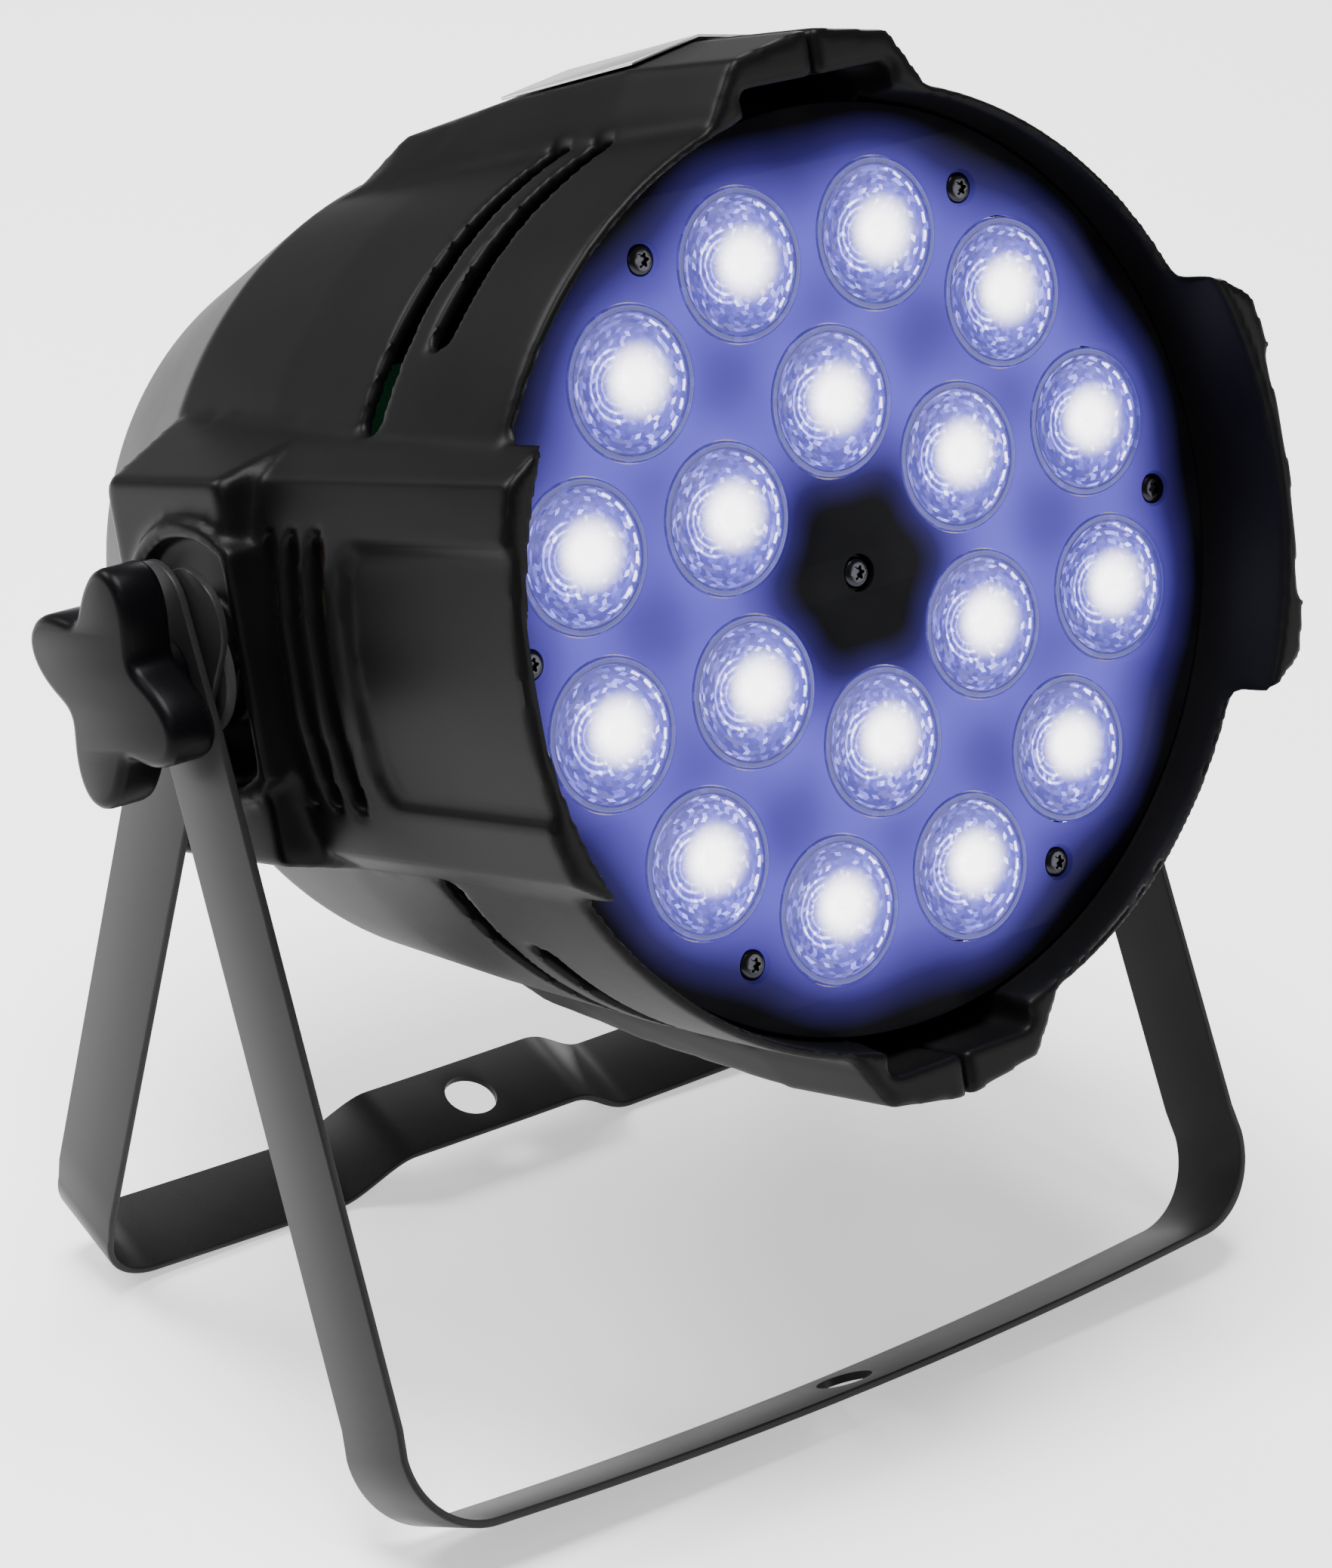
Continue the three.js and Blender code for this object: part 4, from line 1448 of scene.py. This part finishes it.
@dataclass
class Wiring:
    """A cable inside the can, along one smooth line."""

    node: str
    look: Look
    radius: float
    route: tuple

    def build(self) -> None:
        """A welded round cable."""
        spots = [Vector(point) for point in self.route]
        ends = [spots[0] * 2 - spots[1], *spots, spots[-1] * 2 - spots[-2]]
        line = []
        for a, b, c, d in zip(ends, ends[1:], ends[2:], ends[3:]):
            for i in range(8):
                t = i / 8
                line.append(0.5 * (2 * b + (c - a) * t + (2 * a - 5 * b + 4 * c - d) * t * t
                                   + (3 * b - 3 * c + d - a) * t ** 3))
        line.append(spots[-1])
        curve = bpy.data.curves.new(self.node + "_line", "CURVE")
        curve.dimensions = "3D"
        curve.bevel_depth = self.radius * 0.93
        curve.bevel_resolution = 4
        curve.use_fill_caps = True
        add_spline(curve, line, False)
        piece = meshed(curve, "round_" + self.node)
        settle(cleaned(piece, 0.001), "can", self.look, self.node)


@dataclass
class Studio:
    """Pale floor, soft lights and the camera."""

    spot: Point = (-0.6693, -0.8430, 0.6483)
    heading: float = -39.32
    pitch: float = 64.2
    roll: float = 2.49
    lens: float = 129.9
    sensor: float = 36.0
    floor_half: float = 9
    floor_glow: float = 0.65
    world_strength: float = 0.28
    middle: Point = (0.0, 0.0, 0.17)
    lamps: tuple = (("key_left", (-1.5, -0.9, 1.3), 0.5, 4.0), ("fill_right", (1.36, -1.82, 0.5), 1.0, 16.0),
                    ("top", (-0.3, -0.1, 2.2), 1.2, 120.0), ("sheen_left", (-0.85, 1.45, 1.5), 0.9, 45.0),
                    ("rear_right", (1.3, 1.2, 0.9), 0.8, 12.0))

    def floor(self) -> None:
        """A pale floor that sweeps out of sight."""
        far = self.floor_half
        corners = [(-far, -far, 0), (far, -far, 0), (far, far, 0), (-far, far, 0)]
        ground = new_object("studio_floor", corners, [(0, 1, 2, 3)])
        paint = Paint("pale_floor")
        paint.set(Base_Color=(0.9, 0.9, 0.9), Roughness=0.8, Emission_Color=(1.0, 1.0, 1.0),
                  Emission_Strength=self.floor_glow)
        ground.data.materials.append(paint.material)

    def light(self, name: str, spot: Point, size: float, power: float) -> None:
        """One soft round light that looks at the object.

        Args:
            name: Its name.
            spot: Its place in metres.
            size: Its width in metres.
            power: Its power in watts.
        """
        lamp = bpy.data.lights.new(name, "AREA")
        lamp.shape = "DISK"
        lamp.size = size
        lamp.energy = power
        holder = linked(name, lamp)
        holder.location = spot
        holder.rotation_euler = (Vector(self.middle) - Vector(spot)).to_track_quat("-Z", "Y").to_euler()

    def build(self) -> None:
        """Everything round the object."""
        self.floor()
        world = bpy.data.worlds.new("studio")
        world.use_nodes = True
        background = world.node_tree.nodes["Background"]
        background.inputs["Color"].default_value = (1, 1, 1, 1)
        background.inputs["Strength"].default_value = self.world_strength
        bpy.context.scene.world = world
        for lamp in self.lamps:
            self.light(*lamp)
        camera = bpy.data.cameras.new("camera")
        camera.lens = self.lens
        camera.sensor_width = self.sensor
        camera.sensor_fit = "HORIZONTAL"
        holder = linked("camera", camera)
        heading, pitch, roll = (Matrix.Rotation(math.radians(angle), 4, axis) for angle, axis in (
            (self.heading, "Z"), (self.pitch, "X"), (self.roll, "Z")))
        holder.matrix_world = Matrix.Translation(self.spot) @ (heading @ pitch @ roll)
        bpy.context.scene.camera = holder


THREE_PINS = ((-3.8, 1.5), (3.8, 1.5), (0.0, -4.0))
ONE_PIN = ((0.0, 0.0),)
SOCKETS = (
    Socket("dmx_in", Look.ZINC, -34, -14, 7.2, THREE_PINS),
    Socket("dmx_out", Look.ZINC, 34, -14, 7.2, THREE_PINS),
    Socket("power_inlet", Look.BLUE, -15.5, -42, 5.0, ONE_PIN),
    Socket("power_outlet", Look.GREY, 15.5, -42, 5.0, ONE_PIN),
)
WIRING = (
    Wiring("led_cable", Look.WIRE, 1.3, (
        (-91, -64, 12), (-95, -50, 17), (-97, -38, 26), (-97, -26, 33), (-95, -8, 30), (-93, 10, 20),
        (-91, 24, 14))),
    Wiring("mains_cable", Look.SHEATH, 3.0, (
        (-15.5, 96, -42), (-24, 78, -44), (-52, 58, -40), (-74, 46, -22), (-79, 41.5, 0))),
)
REFINED = (
    Refined("label_plate", Look.LABEL, 0.2), Refined("led_board", Look.BOARD, 0.2),
    Refined("heat_sink", Look.ALLOY, 0.3), Refined("fan_frame", Look.DARK, 0.8),
    Refined("fan_rotor", Look.DARK, 0.3), Refined("power_board", Look.BOARD, 0.3),
    Refined("driver_board", Look.GREEN, 0.3), Refined("control_board", Look.GREEN, 0.2),
    Refined("rear_panel", Look.REAR, 0.3), Refined("display", Look.SCREEN, 0.4),
    Refined("fuse_holder", Look.DARK, 0.3), Refined("fuse_cap", Look.KNOB, 0.5),
    Refined("safety_eye", Look.ZINC, 0.0),
    *(Refined("menu_button_%d" % number, Look.KNOB, 0.5) for number in range(1, 5)),
)
BRACKETS = (
    Bracket("front_bar", "front_bracket", Look.BRACKET, -28.5, 129.0, 132.8, 211.6, 5.2, 21.0, 0.0),
    Bracket("rear_bar", "rear_bracket", Look.BRACKET, 17.24, 126.5, 122.2, 197.5, 2.5, 17.0, 10.2),
)


def main() -> None:
    """Builds the studio and every sub-assembly in order."""
    Studio().build()
    Shell().build()
    Face().build()
    for bracket in BRACKETS:
        bracket.build()
    for side in Side:
        Pivot().build(side)
    for socket in SOCKETS:
        socket.build()
    for cable in WIRING:
        cable.build()
    for row in REFINED:
        row.build()
        LOG.info("%s refined", row.node)


if __name__ == "__main__":
    logging.basicConfig(level=logging.INFO, format="%(name)s: %(message)s")
    main()
